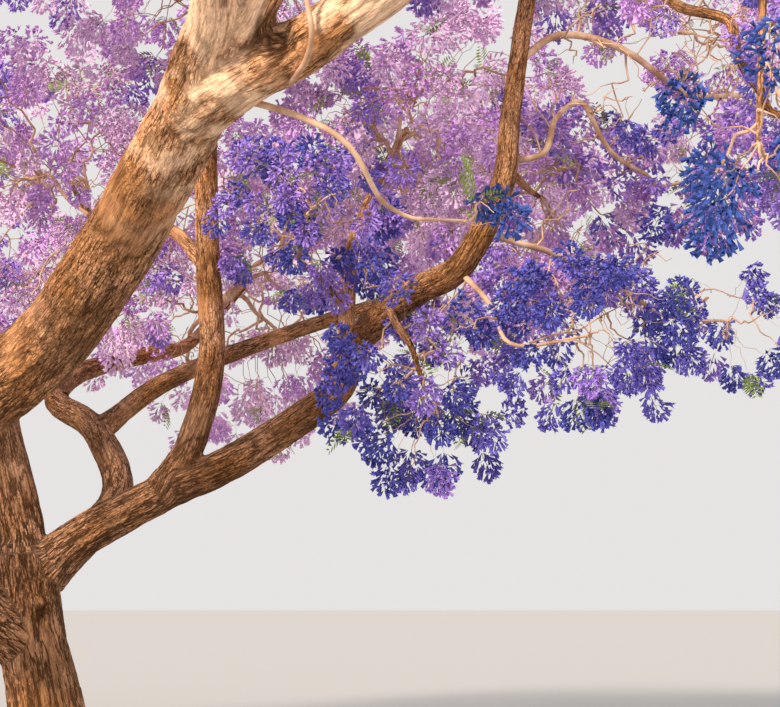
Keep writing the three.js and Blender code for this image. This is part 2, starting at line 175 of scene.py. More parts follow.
bpy.ops.mesh.primitive_plane_add(size=FLOOR_SIZE)
floor = bpy.context.object
floor.name = "studio_floor"
floor.data.materials.append(Paint("floor_paint", FLOOR_COLOUR, 0.9, HALF_SHINE).material)

surround = bpy.data.worlds.new("studio_surround")
surround.use_nodes = True
glow = surround.node_tree.nodes["Background"]
glow.inputs["Color"].default_value = rgba(SURROUND_COLOUR)
glow.inputs["Strength"].default_value = SURROUND_STRENGTH
bpy.context.scene.world = surround
bpy.context.scene.view_settings.view_transform = "Standard"

for name, plan in LAMPS.items():
    turned = (math.radians(plan["tilt"]), 0, math.radians(plan["turn"]))
    bpy.ops.object.light_add(type="SUN", rotation=turned)
    lamp = bpy.context.object
    lamp.name = name
    lamp.data.energy = plan["strength"]
    lamp.data.color = plan["colour"]
    lamp.data.angle = math.radians(plan["spread"])
print(len(LAMPS), "lamps over a floor", FLOOR_SIZE, "m across")

# %% [markdown]
# The limbs of the real tree were measured as a line through the middle of each one, with a
# thickness at its foot and its tip. These are the same lines that the solids were built on, so
# the bark lies exactly where the solids are. A limb swells where it leaves another one, unless it
# carries on in line with it.

# %% The limbs' middle lines
class Limb(NamedTuple):
    """The radii of a limb's two ends, the points of its line, and how far it swells at its foot."""

    foot: float
    tip: float
    run: list
    swell: float = 0.28


LIMBS = {
    "trunk": Limb(0.3, 0.25, [(0, 0, 0), (-0.05, 0, 0.69), (-0.16, 0, 1.2), (-0.25, 0, 1.78)], swell=0),
    "right_bough": Limb(0.165, 0.12, [(-0.12, 0.02, 1.72), (0.2, 0.02, 2), (0.83, 0.1, 2.35),
        (1.26, 0.15, 2.54), (1.72, 0.25, 2.83), (2.16, 0.3, 3.16), (2.26, 0.27, 3.4)]),
    "middle_stem": Limb(0.2, 0.09, [(-0.2, 0, 1.6), (-0.26, 0.06, 1.95), (-0.49, 0.3, 2.77),
        (-0.68, 0.55, 3.4), (-0.95, 0.6, 4.5), (-1, 0.2, 5.6), (-1, -0.15, 6.35)]),
    "near_bough_lower": Limb(0.25, 0.238, [(-0.15, 0, 1.15), (-0.56, -0.23, 1.43), (-0.95, -1, 1.73),
        (-0.88, -1.9, 2.03), (-0.48, -2.7, 2.31), (0, -3.5, 2.57)], swell=0),
    "near_bough_upper": Limb(0.238, 0.175, [(0, -3.5, 2.57), (0.77, -4.3, 3.02), (1.4, -5.4, 3.57),
        (1.76, -6.2, 3.89)], swell=0),
    "near_limb_right": Limb(0.155, 0.08, [(1.7, -6.08, 3.79), (1.95, -6.33, 3.89), (2.2, -6.5, 3.97),
        (2.48, -6.7, 4.1), (3.1, -6.8, 4.5), (3.9, -6.5, 5), (4.25, -6.2, 5.3)], swell=0),
    "near_limb_up": Limb(0.14, 0.08, [(1.62, -5.98, 3.8), (1.74, -6.33, 3.99), (1.83, -6.6, 4.11),
        (1.86, -6.95, 4.35), (1.84, -7.15, 4.95)], swell=0),
    "near_limb_back": Limb(0.105, 0.065, [(1.78, -6.2, 3.88), (1.93, -6.42, 4.02), (2.06, -6.6, 4.2),
        (2.25, -6.2, 4.9), (2.1, -5.2, 5.8), (1.85, -4.2, 6.35)]),
    "back_bough": Limb(0.15, 0.085, [(-0.1, 0.12, 1.7), (0.3, 1.1, 2.35), (0, 1.8, 2.98),
        (-0.45, 2.35, 3.3), (-0.35, 3.1, 3.65), (0.2, 3.75, 3.9)]),
    "upright_limb": Limb(0.13, 0.085, [(0.83, 0.1, 2.36), (1.03, 0.2, 2.77), (1.16, 0.35, 3.45),
        (1.1, 0.55, 4.3), (1.06, 0.65, 5.4), (1.1, 0.9, 6.15)]),
    "outer_limb": Limb(0.14, 0.052, [(2.26, 0.27, 3.4), (2.33, 0.19, 3.56), (2.75, -0.8, 3.77),
        (3.11, -1.3, 3.91), (3.4, -1.5, 4.45), (3.47, -1.45, 4.98), (3.61, -1.3, 5.89),
        (3.72, -1.15, 6.25)], swell=0),
    "inner_limb": Limb(0.076, 0.052, [(2.25, 0.29, 3.44), (2.25, 0.5, 3.94), (2.29, 0.8, 4.45),
        (2.41, 1.1, 4.85)]),
    "left_front_limb": Limb(0.13, 0.085, [(-0.92, -1.65, 1.95), (-1.6, -1.9, 2.9), (-2.6, -2.2, 3.7),
        (-3.15, -2.35, 4.15)]),
    "front_left_limb": Limb(0.12, 0.08, [(-0.44, -2.8, 2.34), (-0.8, -3.6, 3.1), (-1.3, -4.4, 3.9),
        (-1.6, -4.9, 4.45)]),
    "left_limb": Limb(0.12, 0.08, [(-0.68, 0.55, 3.35), (-1.6, 0.8, 3.9), (-2.7, 0.95, 4.3),
        (-3.3, 1, 4.65)]),
    "back_left_limb": Limb(0.085, 0.06, [(-0.42, 2.33, 3.29), (-1, 2.8, 3.9), (-1.5, 3.2, 4.45)]),
    "back_right_limb": Limb(0.1, 0.065, [(0.02, 1.78, 2.96), (0.6, 2.35, 3.5), (1.7, 3.1, 4.05),
        (2.75, 3.5, 4.45)]),
    "upright_side_limb": Limb(0.06, 0.045, [(1.11, 0.52, 4.2), (0.75, 0.9, 4.6), (0.35, 1.4, 4.7),
        (0.15, 1.7, 4.76)]),
    "high_right_branch": Limb(0.03, 0.02, [(3.55, -1.38, 5.42), (3.85, -1.3, 5.6), (4.3, -1.15, 5.56),
        (4.8, -0.85, 5.35), (5.3, -0.3, 5.4), (5.6, 0.4, 5.6)]),
    "arching_right_branch": Limb(0.024, 0.018, [(3.42, -1.5, 4.62), (3.72, -1.38, 4.72),
        (3.8, -1.3, 5.02), (4.02, -1.2, 5.12), (4.25, -1, 4.83), (4.5, -0.87, 4.69)]),
    "drooping_right_branch": Limb(0.045, 0.034, [(3.64, -1.27, 6), (3.95, -1.5, 6.35),
        (4.37, -1.8, 5.95), (4.6, -2, 5.62), (4.93, -2.1, 5.48), (4.99, -2.1, 5.22), (5.15, -2, 5.03)]),
    "low_right_branch": Limb(0.022, 0.018, [(3.11, -1.3, 3.86), (3.29, -1.4, 3.64),
        (3.38, -1.5, 3.45)]),
    "low_far_right_branch": Limb(0.024, 0.018, [(3.29, -1.44, 4.12), (3.75, -1.2, 4.02),
        (4.2, -0.95, 3.85), (4.45, -0.86, 3.72)]),
    "centre_branch": Limb(0.038, 0.03, [(2.6, -0.56, 3.72), (2.62, -0.85, 3.6), (2.7, -0.98, 3.45)]),
    "centre_left_branch": Limb(0.036, 0.028, [(2.25, 0.45, 3.85), (2.05, 0.2, 4.05),
        (1.95, 0.02, 4.12)]),
    "upper_right_branch": Limb(0.04, 0.03, [(3.43, -1.48, 4.7), (3.5, -1.1, 4.64), (3.6, -0.8, 4.62)]),
    "near_right_branch": Limb(0.034, 0.024, [(3.1, -6.8, 4.5), (3.7, -7.05, 4.85), (4.15, -6.85, 4.8),
        (4.25, -6.52, 4.42)]),
    "near_arching_branch": Limb(0.017, 0.009, [(1.88, -6.2, 3.83), (2.18, -6.3, 3.71),
        (2.4, -6.23, 3.6), (2.56, -6.05, 3.39), (2.67, -5.95, 3.32), (2.78, -5.88, 3.33)]),
}

print(len(LIMBS), "limbs")

# %% [markdown]
# Each limb's line is a smooth curve through its points. The thickness shrinks evenly from foot to
# tip, with a collar at the foot that dies away along the limb. The trunk also flares out over the
# roots, close to the ground.

# %% Curves and thicknesses
ROOT_FLARE = 0.14
FLARE_HEIGHT = 0.3
LENGTH_STEPS = 201


def unit(vectors):
    return vectors / np.linalg.norm(vectors, axis=-1, keepdims=True)


def mix(a, b, share):
    return a + (b - a) * share


def curve_through(run, shares):
    """Points on the smooth curve through a run, at shares of it from 0 to 1."""
    run = np.array(run, float)
    ends = np.vstack([2 * run[0] - run[1], run, 2 * run[-1] - run[-2]])
    place = np.asarray(shares) * (len(run) - 1)
    part = np.minimum(place.astype(int), len(run) - 2)
    t = (place - part)[:, None]
    before, start, end, after = (ends[part + k] for k in range(4))
    out = (end - before) / 2
    into = (after - start) / 2
    bow = 3 * (end - start) - 2 * out - into
    return start + out * t + bow * t**2 + (2 * (start - end) + out + into) * t**3


def curve_length(run):
    steps = np.diff(curve_through(run, np.linspace(0, 1, LENGTH_STEPS)), axis=0)
    return np.linalg.norm(steps, axis=1).sum()


def limb_rings(name, spacing, fewest):
    """A limb's middle points and radii, at even shares of its run."""
    foot, tip, run, swell = LIMBS[name]
    length = curve_length(run)
    count = max(fewest, int(length / spacing + 0.5))
    shares = np.arange(count + 1) / count
    points = curve_through(run, shares)
    collar = 1 + swell * np.exp(-shares * length / (2 * foot))
    flare = ROOT_FLARE * np.exp(-points[:, 2] / FLARE_HEIGHT) if name == "trunk" else 0
    return points, mix(foot, tip, shares) * collar + flare


print("the near bough is", round(curve_length(LIMBS["near_bough_lower"].run), 2), "m to its joint")

# %% [markdown]
# Each mass of blossom keeps to a space of its own: an egg-shaped one, cut off flat where a
# neighbour's begins. It grows by a rule. A stem runs from the limb's tip to the middle of the
# space, a few branches leave it, and sprays are tried evenly all round, each on a twig from the
# nearest branch. A spray that would leave the space, or touch a limb or another spray, is moved
# inwards, and skipped where no place fits.
#
# The rule draws its random numbers from a seed of the mass's own, so that it grows the same sprays
# as the solids have, every time.

# %% The masses of blossom
class Mass(NamedTuple):
    """The limb that carries it, its space, the number and length of its sprays, and how pink it is.

    The filling says how many times as many small sprays stand between them, if the rule for most
    masses doesn't.
    """

    limb: str
    middle: tuple
    half: tuple
    sprays: int
    spray: float
    # The share of pink paints light: pink lilac for sunlit blossom, deep blue for shaded.
    sunlit_pinkness: float
    filling: float = None


MASSES = {
    "crown_top_left": Mass("middle_stem", (-1, -0.4, 7.6), (2.3, 2.25, 1.35), 19, 0.88, 0.58),
    "crown_top_back": Mass("upright_limb", (1.15, 1.5, 7.35), (2.05, 2.05, 1.3), 18, 0.86, 0.84),
    "crown_top_front": Mass("near_limb_back", (1.6, -3.1, 7.4), (2.2, 2.15, 1.25), 19, 0.88, 0.62),
    "crown_top_right": Mass("outer_limb", (3.95, -0.75, 7.15), (1.9, 1.95, 1.15), 17, 0.82, 0.7),
    "near_mass": Mass("near_limb_up", (1.8, -7.15, 5.95), (1.9, 1.35, 1.1), 17, 0.78, 0.45),
    "near_right_top_mass": Mass("near_limb_right", (4.7, -5.5, 6.2), (1.85, 1.85, 1.15), 18, 0.82, 0.42),
    "near_right_mass": Mass("near_right_branch", (4.23, -6.42, 3.56), (0.4, 0.45, 0.6),
        9, 0.36, -0.1, filling=0),
    "near_hanging_mass": Mass("near_arching_branch", (2.98, -5.8, 3.33), (0.25, 0.28, 0.22),
        5, 0.24, -0.1, filling=0),
    "front_left_mass": Mass("front_left_limb", (-1.85, -5.35, 5.65), (2.1, 1.95, 1.35), 19, 0.88, 0.5),
    "left_front_mass": Mass("left_front_limb", (-4.25, -2.65, 5.25), (2.1, 2.05, 1.45), 19, 0.88, 0.47),
    "left_mass": Mass("left_limb", (-4.6, 1, 5.6), (2.05, 2.2, 1.45), 18, 0.88, 0.56),
    "back_left_mass": Mass("back_left_limb", (-2.4, 4, 5.8), (2.1, 1.95, 1.6), 19, 0.88, 0.7),
    "back_mass": Mass("back_bough", (1.05, 4.75, 4.75), (2.3, 1.7, 1.85), 18, 0.85, 0.96),
    "back_right_mass": Mass("back_right_limb", (3.25, 4.2, 5.45), (1.65, 1.8, 1.45), 19, 0.82, 0.88),
    "right_mass": Mass("high_right_branch", (5.9, 1.6, 6.45), (1.5, 1.65, 1.1),
        16, 0.76, 0.68, filling=1.2),
    "drooping_right_mass": Mass("drooping_right_branch", (5.9, -2.15, 4.95), (0.95, 1.25, 0.9),
        14, 0.62, 0.42),
    "middle_back_mass": Mass("upright_side_limb", (-0.35, 2.4, 5.3), (1.7, 1.5, 1.65), 16, 0.74, 0.82),
    "inner_top_mass": Mass("inner_limb", (2.75, 2, 5.75), (1.65, 1.45, 1.15), 17, 0.74, 0.86),
    "upper_right_mass": Mass("upper_right_branch", (3.8, -0.15, 4.65), (0.9, 0.8, 0.8), 12, 0.52, 0.66),
    "arching_right_mass": Mass("arching_right_branch", (5.05, -0.7, 4.72), (0.65, 0.65, 0.48),
        8, 0.4, 0.5),
    "centre_left_mass": Mass("centre_left_branch", (1.95, -0.38, 4.42), (0.72, 0.6, 0.68), 11, 0.43, 0.3),
    "centre_mass": Mass("centre_branch", (2.85, -0.95, 3.06), (0.72, 0.64, 0.8), 12, 0.44, 0.27),
    "low_right_mass": Mass("low_right_branch", (4.02, -1.45, 3.38), (0.74, 0.68, 0.62), 11, 0.43, 0.22),
    "low_far_right_mass": Mass("low_far_right_branch", (5.12, -0.78, 3.58), (0.72, 0.68, 0.48),
        9, 0.4, 0.24, filling=1.6),
}

print(len(MASSES), "masses of blossom")

# %% The rule's sizes
TOUCH_GAP = 0.0003  # between a limb's tip and the stem of its mass
MASS_GAP = 0.03  # between a mass and the plane to its neighbour
LIMB_CLEARANCE = 0.025
BRANCH_OVERLAP = 0.01
BALL_STEP = 0.07  # between the balls that stand for a twig while it is tried
SOURCE_SPACING = 0.5
SOURCE_FEWEST = 4
STEM_PARTS = 3
STEM_BEND = 0.45
STEM_TIP = 0.5
BRANCH_START = 0.4
BRANCH_END = 0.95
BRANCH_SHARE = 0.25  # branches for each spray
BRANCH_REACH = 0.52  # as a share of the way out to the edge
BRANCH_SWAY = 0.3
BRANCH_TAPER = np.array([0.8, 0.64, 0.44])
TWIG_SHARE = 0.22  # of the stem's tip, in thickness
NEAR_FORK = 0.3
SPRAY_REACHES = (0.97, 0.85, 0.73, 0.6, 0.46)  # where a spray's tip is tried, one by one
SPRAY_STRAY = 0.3
SPRAY_LENGTHS = (0.8, 1.15)
SPRAY_LIFTS = (-0.7, 0.35)
INNER_EVERY = 4  # each fourth spray is tried only farther in
INNER_FROM = 2
SPRAY_GIRTH = 0.31
SPRAY_BELLY = 0.45  # where along it a spray is widest
SPRAY_SPACING = 0.8
SPRAY_PLACES = np.array([0.15, 0.3, 0.45, 0.6, 0.75, 0.9])
BELLY_POINTS = 6
GOLDEN_TURN = math.pi * (3 - math.sqrt(5))
FIRST_SEED = 4021
SEED_STEP = 97
SEED_FACTOR = 16807
SEED_WRAP = 2**31 - 1


def seeded_draws(seed):
    """The same draws for the same seed, from 0 to 1."""
    state = seed
    while True:
        state = state * SEED_FACTOR % SEED_WRAP
        yield state / SEED_WRAP


source_rings = {name: limb_rings(name, SOURCE_SPACING, SOURCE_FEWEST) for name in LIMBS}
source_rings["trunk"][0][1, :2] = 0  # as in the solids, the second ring is right above the foot


def joined_stretches(ways):
    """The stretches between the ways' points: starts, ways along, greater radii."""
    parts = [
        (points[:-1], np.diff(points, axis=0), np.maximum(radii[:-1], radii[1:]))
        for points, radii in ways
    ]
    return tuple(np.concatenate(kind) for kind in zip(*parts))


limb_ways = joined_stretches(source_rings.values())


def nearest_on(ways, points):
    """For each point, the nearest place on every way."""
    starts, alongs, _ = ways
    share = ((points[:, None] - starts) * alongs).sum(-1) / (alongs * alongs).sum(-1)
    return starts + alongs * np.clip(share, 0, 1)[..., None]


def keeps_clear(points, radii, ways, distance):
    gaps = np.linalg.norm(nearest_on(ways, points) - points[:, None], axis=-1)
    return bool((gaps > ways[2] + np.reshape(radii, (-1, 1)) + distance).all())


def twig_balls(start, end, radius):
    count = math.ceil(np.linalg.norm(end - start) / BALL_STEP) + 1
    return mix(start, end, np.linspace(0, 1, count)[:, None]), np.full(count, radius)


print(len(limb_ways[0]), "stretches of limb to keep clear of")

# %% A mass's space
def mass_space(name):
    """Its middle and half sizes, and a plane towards each of the other masses."""
    own = MASSES[name]
    middle = np.array(own.middle)
    others = [mass for other, mass in MASSES.items() if other != name]
    toward = np.array([mass.middle for mass in others]) - middle
    apart = np.linalg.norm(toward, axis=1)
    their_size = np.array([np.mean(mass.half) for mass in others])
    limits = (apart**2 + np.mean(own.half) ** 2 - their_size**2) / (2 * apart) - MASS_GAP
    return {"middle": middle, "half": np.array(own.half), "planes": unit(toward), "limits": limits}


def reach(space, direction):
    facing = space["planes"] @ direction
    cuts = space["limits"][facing > 0] / facing[facing > 0]
    return min([1 / np.linalg.norm(direction / space["half"]), *cuts])


def holds(space, points):
    away = np.atleast_2d(points) - space["middle"]
    within = (away @ space["planes"].T <= space["limits"]).all()
    return bool(within and (np.linalg.norm(away / space["half"], axis=1) <= 1).all())


def spread_direction(k, count, phase):
    """The k-th of an even spread of directions."""
    z = 1 - (2 * k + 1) / count
    across = math.sqrt(1 - z * z)
    turn = k * GOLDEN_TURN + phase
    return np.array([across * math.cos(turn), across * math.sin(turn), z])


print("the near mass reaches", round(reach(mass_space("near_mass"), np.array([0, 0, 1.0])), 2), "m up")

# %% [markdown]
# The stem carries on the way that the limb points, then bows over to the middle of the space. The
# branches leave its upper part, each with one bend.

# %% Stems and branches
def grow_stem(limb, middle):
    points, radii = source_rings[limb]
    heading = unit(points[-1] - points[-2])
    foot = points[-1] + heading * TOUCH_GAP
    bend = foot + heading * np.linalg.norm(middle - foot) * STEM_BEND
    shares = np.arange(STEM_PARTS + 1) / STEM_PARTS
    t = shares[:, None]
    stem = (1 - t) ** 2 * foot + 2 * t * (1 - t) * bend + t**2 * middle
    stem[1] = foot + heading * np.linalg.norm(stem[1] - foot)
    return stem, radii[-1] * mix(1, STEM_TIP, shares)


def grow_branches(stem, space, count, draw):
    points, stem_radii = stem
    phase = draw() * 2 * math.pi
    branches = []
    for k in range(count):
        direction = spread_direction(k, count, phase)
        along = mix(BRANCH_START, BRANCH_END, (k + draw()) / count) * STEM_PARTS
        part = math.floor(along)
        leaves = mix(points[part], points[part + 1], along - part)
        tip = space["middle"] + direction * reach(space, direction) * BRANCH_REACH
        sway = np.array([draw() - 0.5, draw() - 0.5, draw() - 0.2])
        bend = mix(leaves, tip, 0.5) + sway * (np.linalg.norm(tip - leaves) * BRANCH_SWAY)
        radii = BRANCH_TAPER * stem_radii[-1]
        halves = (mix(leaves, bend, NEAR_FORK), bend, radii[0]), (bend, tip, radii[1])
        fits = holds(space, [bend, tip])
        for half in halves:
            fits = fits and keeps_clear(*twig_balls(*half), limb_ways, LIMB_CLEARANCE)
        if fits:
            branches.append((np.array([leaves, bend, tip]), radii))
    return branches


print("branches carry on to", BRANCH_REACH, "of the way out")

# %% [markdown]
# The sprays come in two rounds. The first round is the one that the solids show, with the same
# draws in the same order. The second grows on from it: shorter sprays in the gaps between them,
# nearer together, which the solids leave out. The palest masses, at the back and on the left, hide
# the sky behind them, and they get the most. A few masses that are open in the photo have a
# filling of their own, and the two small near ones, whose filling is none, have no second round.

# %% Sprays
FILLING = {"count": (2.6, 4.6), "length": 0.62, "spacing": 0.42}
FILLING_REACHES = (0.96, 0.84, 0.72, 0.6, 0.48, 0.36)


def spray_balls(root, axis, length):
    rising = SPRAY_PLACES / SPRAY_BELLY
    falling = (1 - SPRAY_PLACES) / (1 - SPRAY_BELLY)
    narrowing = np.where(SPRAY_PLACES < SPRAY_BELLY, rising, falling)
    return root + axis * SPRAY_PLACES[:, None] * length, length * SPRAY_GIRTH * narrowing


def sprays_apart(balls, others, spacing):
    if not others:
        return True
    points, radii = (np.concatenate(kind) for kind in zip(*others))
    gaps = np.linalg.norm(balls[0][:, None] - points, axis=-1)
    return bool((gaps > (balls[1][:, None] + radii) * spacing).all())


def grow_sprays(count, size, spacing, reaches, mass_parts, draw):
    """Adds up to so many sprays to those that the mass has."""
    space, ways, twig_radius, placed = mass_parts
    phase = draw() * 2 * math.pi
    around = np.array([spread_direction(i, BELLY_POINTS, 0) for i in range(BELLY_POINTS)])
    sprays = []
    for k in range(count):
        sway = np.array([draw() - 0.5, draw() - 0.5, draw() - 0.5])
        outward = unit(spread_direction(k, count, phase) + sway * SPRAY_STRAY)
        length = size * mix(*SPRAY_LENGTHS, draw())
        axis = unit(outward + np.array([0, 0, mix(*SPRAY_LIFTS, draw())]))
        for share in reaches[INNER_FROM if k % INNER_EVERY == 0 else 0:]:
            tip = space["middle"] + outward * reach(space, outward) * share
            root = tip - axis * length
            belly = root + axis * length * SPRAY_BELLY
            round_belly = belly + around * length * SPRAY_GIRTH
            balls = spray_balls(root, axis, length)
            feet = nearest_on(ways, root[None])[0]
            fork = feet[np.argmin(np.linalg.norm(feet - root, axis=1))]
            twig = twig_balls(mix(fork, root, NEAR_FORK), root, twig_radius)
            if (
                holds(space, np.vstack([root, tip, round_belly]))
                and sprays_apart(balls, placed, spacing)
                and keeps_clear(*balls, ways, -BRANCH_OVERLAP)
                and keeps_clear(*balls, limb_ways, LIMB_CLEARANCE)
                and keeps_clear(*twig, limb_ways, LIMB_CLEARANCE)
            ):
                placed.append(balls)
                sprays.append({"fork": fork, "root": root, "axis": axis, "length": length})
                break
    return sprays


def grow_mass(mass, space, seed):
    draw = seeded_draws(seed).__next__
    stem = grow_stem(mass.limb, space["middle"])
    branches = grow_branches(stem, space, int(mass.sprays * BRANCH_SHARE + 0.5), draw)
    ways = joined_stretches([(stem[0][1:], stem[1][1:]), *branches])
    parts = (space, ways, stem[1][-1] * TWIG_SHARE, [])
    first = grow_sprays(mass.sprays, mass.spray, SPRAY_SPACING, SPRAY_REACHES, parts, draw)
    times = mix(*FILLING["count"], mass.sunlit_pinkness) if mass.filling is None else mass.filling
    count, length = int(mass.sprays * times), mass.spray * FILLING["length"]
    second = grow_sprays(count, length, FILLING["spacing"], FILLING_REACHES, parts, draw)
    return {"stem": stem, "branches": branches, "first": first, "second": second}


grown = {
    name: grow_mass(mass, mass_space(name), FIRST_SEED + SEED_STEP * i)
    for i, (name, mass) in enumerate(MASSES.items())
}
print(sum(len(mass["first"]) for mass in grown.values()), "sprays as in the solids, and")
print(sum(len(mass["second"]) for mass in grown.values()), "smaller ones between them")

# %% [markdown]
# Many pieces of the tree are tubes: limbs, branches, twigs, flower stalks. One helper makes any
# number of them at once from arrays of middle lines and radii. A ring of corners is set round each
# point of a line, square to the line, and the rings turn as little as they can from one to the
# next, so that the tube doesn't twist. A second helper turns arrays into a mesh, which is far
# quicker than adding faces one by one.

# %% Tubes and meshes from arrays
NO_LIMBS_WAY = (0.31, 0.17, 0.94)  # a way that no limb follows, to start the rings from


def ring_frames(lines):
    """The way along each line at its points, and two directions square to it."""
    along = unit(np.gradient(lines, axis=1))
    side = np.cross(along[:, 0], NO_LIMBS_WAY)
    sides = []
    for k in range(lines.shape[1]):
        side = unit(side - (side * along[:, k]).sum(-1, keepdims=True) * along[:, k])
        sides.append(side)
    sides = np.stack(sides, axis=1)
    return along, sides, np.cross(along, sides)


def tubes(lines, radii, around):
    """Corners and four-sided faces of open tubes with so many corners around."""
    _, side, across = ring_frames(lines)
    turn = np.arange(around) * 2 * math.pi / around
    spokes = side[:, :, None] * np.cos(turn)[:, None] + across[:, :, None] * np.sin(turn)[:, None]
    corners = lines[:, :, None] + spokes * radii[:, :, None, None]
    number = np.arange(corners.shape[0] * corners.shape[1] * around)
    number = number.reshape(corners.shape[:3])
    near, far = number[:, :-1], number[:, 1:]
    faces = np.stack([near, np.roll(near, -1, 2), np.roll(far, -1, 2), far], axis=-1)
    return corners.reshape(-1, 3), faces.reshape(-1, 4)


def joined(parts):
    """Several sets of corners and faces as one."""
    starts = np.cumsum([0] + [len(corners) for corners, _ in parts[:-1]])
    corners = np.concatenate([corners for corners, _ in parts])
    faces = np.concatenate([faces + start for (_, faces), start in zip(parts, starts)])
    return corners, faces


def mesh_object(name, corners, faces, material, smooth=True):
    mesh = bpy.data.meshes.new(name)
    mesh.vertices.add(len(corners))
    mesh.vertices.foreach_set("co", corners.astype(np.float32).ravel())
    mesh.loops.add(faces.size)
    mesh.loops.foreach_set("vertex_index", faces.astype(np.int32).ravel())
    mesh.polygons.add(len(faces))
    mesh.polygons.foreach_set("loop_start", np.arange(0, faces.size, faces.shape[1]))
    mesh.update(calc_edges=True)
    mesh.validate()
    mesh.polygons.foreach_set("use_smooth", np.full(len(faces), smooth))
    mesh.materials.append(material)
    piece = bpy.data.objects.new(name, mesh)
    bpy.context.collection.objects.link(piece)
    return piece


def numbers_of(items, key, width, kind=float):
    """One of the properties of a mesh's items, as an array with so many numbers for each."""
    numbers = np.empty(len(items) * width, kind)
    items.foreach_get(key, numbers)
    return numbers.reshape(-1, width) if width > 1 else numbers


def triangle_count(piece):
    return sum(len(face.vertices) - 2 for face in piece.data.polygons)


def edit(piece, *steps):
    """Takes the steps one after another in edit mode, each with its settings."""
    bpy.context.view_layer.objects.active = piece
    bpy.ops.object.mode_set(mode="EDIT")
    for step, settings in steps:
        step(**settings)
    bpy.ops.object.mode_set(mode="OBJECT")


def dress(piece, replaced=()):
    """Fixes a piece to the root, hides the solids that it replaces, and prints its triangle count."""
    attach(piece, "root")
    if replaced:
        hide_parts(*replaced)
    print(piece.name, triangle_count(piece), "triangles")


SELECT_ALL = (bpy.ops.mesh.select_all, {"action": "SELECT"})
print("tubes turn as little as they can")

# %% [markdown]
# Old jacaranda bark is brown-grey with long, narrow, interlacing ridges, and cracks between them.
# It runs along the limb and wraps round it, so its pattern needs a place on the limb: the way
# round and the way along, not a place in space. Each corner of the bark's mesh keeps that place
# as an attribute, and both the relief and the colours read it.
#
# Where limbs meet, the wood runs together in a smooth crotch. Tubes pushed into each other would
# leave a hard line there. So the tubes are only a start: a voxel remesh melts them into one skin,
# a smoothing softens the crotches, and then the relief is cut into it.

# %% The thick limbs' skin
SKIN_SPACING = 0.06
FEWEST_RINGS = 8
SKIN_CORNERS = 28
VOXEL = 0.018
SOFTENINGS = 7
THICK_FOOT = 0.1  # a limb with a thicker foot than this is part of the skin
DOME = ((0.35, 0.93), (0.65, 0.76), (0.88, 0.47), (0.98, 0.18))  # how far out, how thick
UNDER_GROUND = 0.06  # the trunk starts lower than its flat cut


def domed(points, radii):
    """A line carried on past its tip, with radii that close it in a dome."""
    heading = unit(points[-1] - points[-2])
    more = [points[-1] + heading * radii[-1] * out for out, _ in DOME]
    return np.vstack([points, more]), np.append(radii, [radii[-1] * share for _, share in DOME])


limb_lines = {name: limb_rings(name, SKIN_SPACING, FEWEST_RINGS) for name in LIMBS}
thick_limbs = [name for name, limb in LIMBS.items() if limb.foot >= THICK_FOOT]
trunk_points, trunk_radii = limb_lines["trunk"]
trunk_points = np.vstack([trunk_points[0] - (0, 0, UNDER_GROUND), trunk_points])
limb_lines["trunk"] = (trunk_points, np.append(trunk_radii[0], trunk_radii))

raw_wood = Paint("raw_wood", FLOOR_COLOUR, 1, HALF_SHINE).material
bpy.ops.object.select_all(action="DESELECT")
for name in thick_limbs:
    points, radii = domed(*limb_lines[name])
    corners, faces = tubes(points[None], radii[None], SKIN_CORNERS)
    tube = mesh_object(name + "_tube", corners, faces, raw_wood)
    tube.select_set(True)
    bpy.context.view_layer.objects.active = tube
bpy.ops.object.join()
skin = bpy.context.object
skin.name = "bark_skin"
fill = (bpy.ops.mesh.fill_holes, {"sides": SKIN_CORNERS})
face_out = (bpy.ops.mesh.normals_make_consistent, {"inside": False})
edit(skin, SELECT_ALL, fill, face_out)
skin.data.remesh_voxel_size = VOXEL
bpy.ops.object.voxel_remesh()
softened = skin.modifiers.new("softened", "SMOOTH")
softened.factor = 0.5
softened.iterations = SOFTENINGS
bpy.ops.object.modifier_apply(modifier="softened")
ground_cut = {"plane_co": (0, 0, 0), "plane_no": (0, 0, 1), "clear_inner": True, "use_fill": True}
edit(skin, SELECT_ALL, (bpy.ops.mesh.bisect, ground_cut))
print(len(thick_limbs), "limbs melted into a skin of", triangle_count(skin), "triangles")

# %% [markdown]
# For every corner of the skin, the nearest limb's line gives the place on the limb. Near a crotch
# two limbs are as near as each other, and the relief is a blend of theirs. Past the tip of a limb
# the way along simply carries on, and the limb counts as farther off than it is, so that the limb
# that grows on from there takes over.

# %% Each corner's place on its limb
PLACE_STEP = 2  # every second ring of a limb is enough to find the way along it
NEAR_RADII = 1.6  # a limb is measured against the corners in a box with this margin
TOUCHED_RADII = 1.5  # and its grain reaches the corners within so many radii of its line
BLEND_RADII = 0.05
TINY = 1e-6
LEAST_WEIGHT = 1e-30
WANDER = (3.1, 3.1, 1.6)  # how fine each noise is, across the limb twice and then along it
RIDGES = (13, 13, 2.6)
FINE_RIDGES = (27, 27, 6.5)
SCALES = (9, 9, 11)
SWELLINGS = (2.6, 2.6, 1.9)
RIDGE_WANDER = (0.9, 0.5, 0.0)
CRACK_WIDTH = 0.16
FINE_CRACK_WIDTH = 0.2
FINE_CRACK_DEPTH = 0.5  # as a share of the other cracks' depth
SCALE_HEIGHT = 0.25
DEEPEST_CRACK = 0.011
DEEP_FROM_RADIUS = 0.2  # thinner wood than this has shallower cracks
SHALLOWEST = 0.12
SWELLING_SHARE = 0.05
GRAIN_SHIFT = 3.7  # from one limb to the next, so that no two have the same grain


def walked_along(points):
    """The way along a line at each of its points."""
    return np.append(0, np.cumsum(np.linalg.norm(np.diff(points, axis=0), axis=1)))


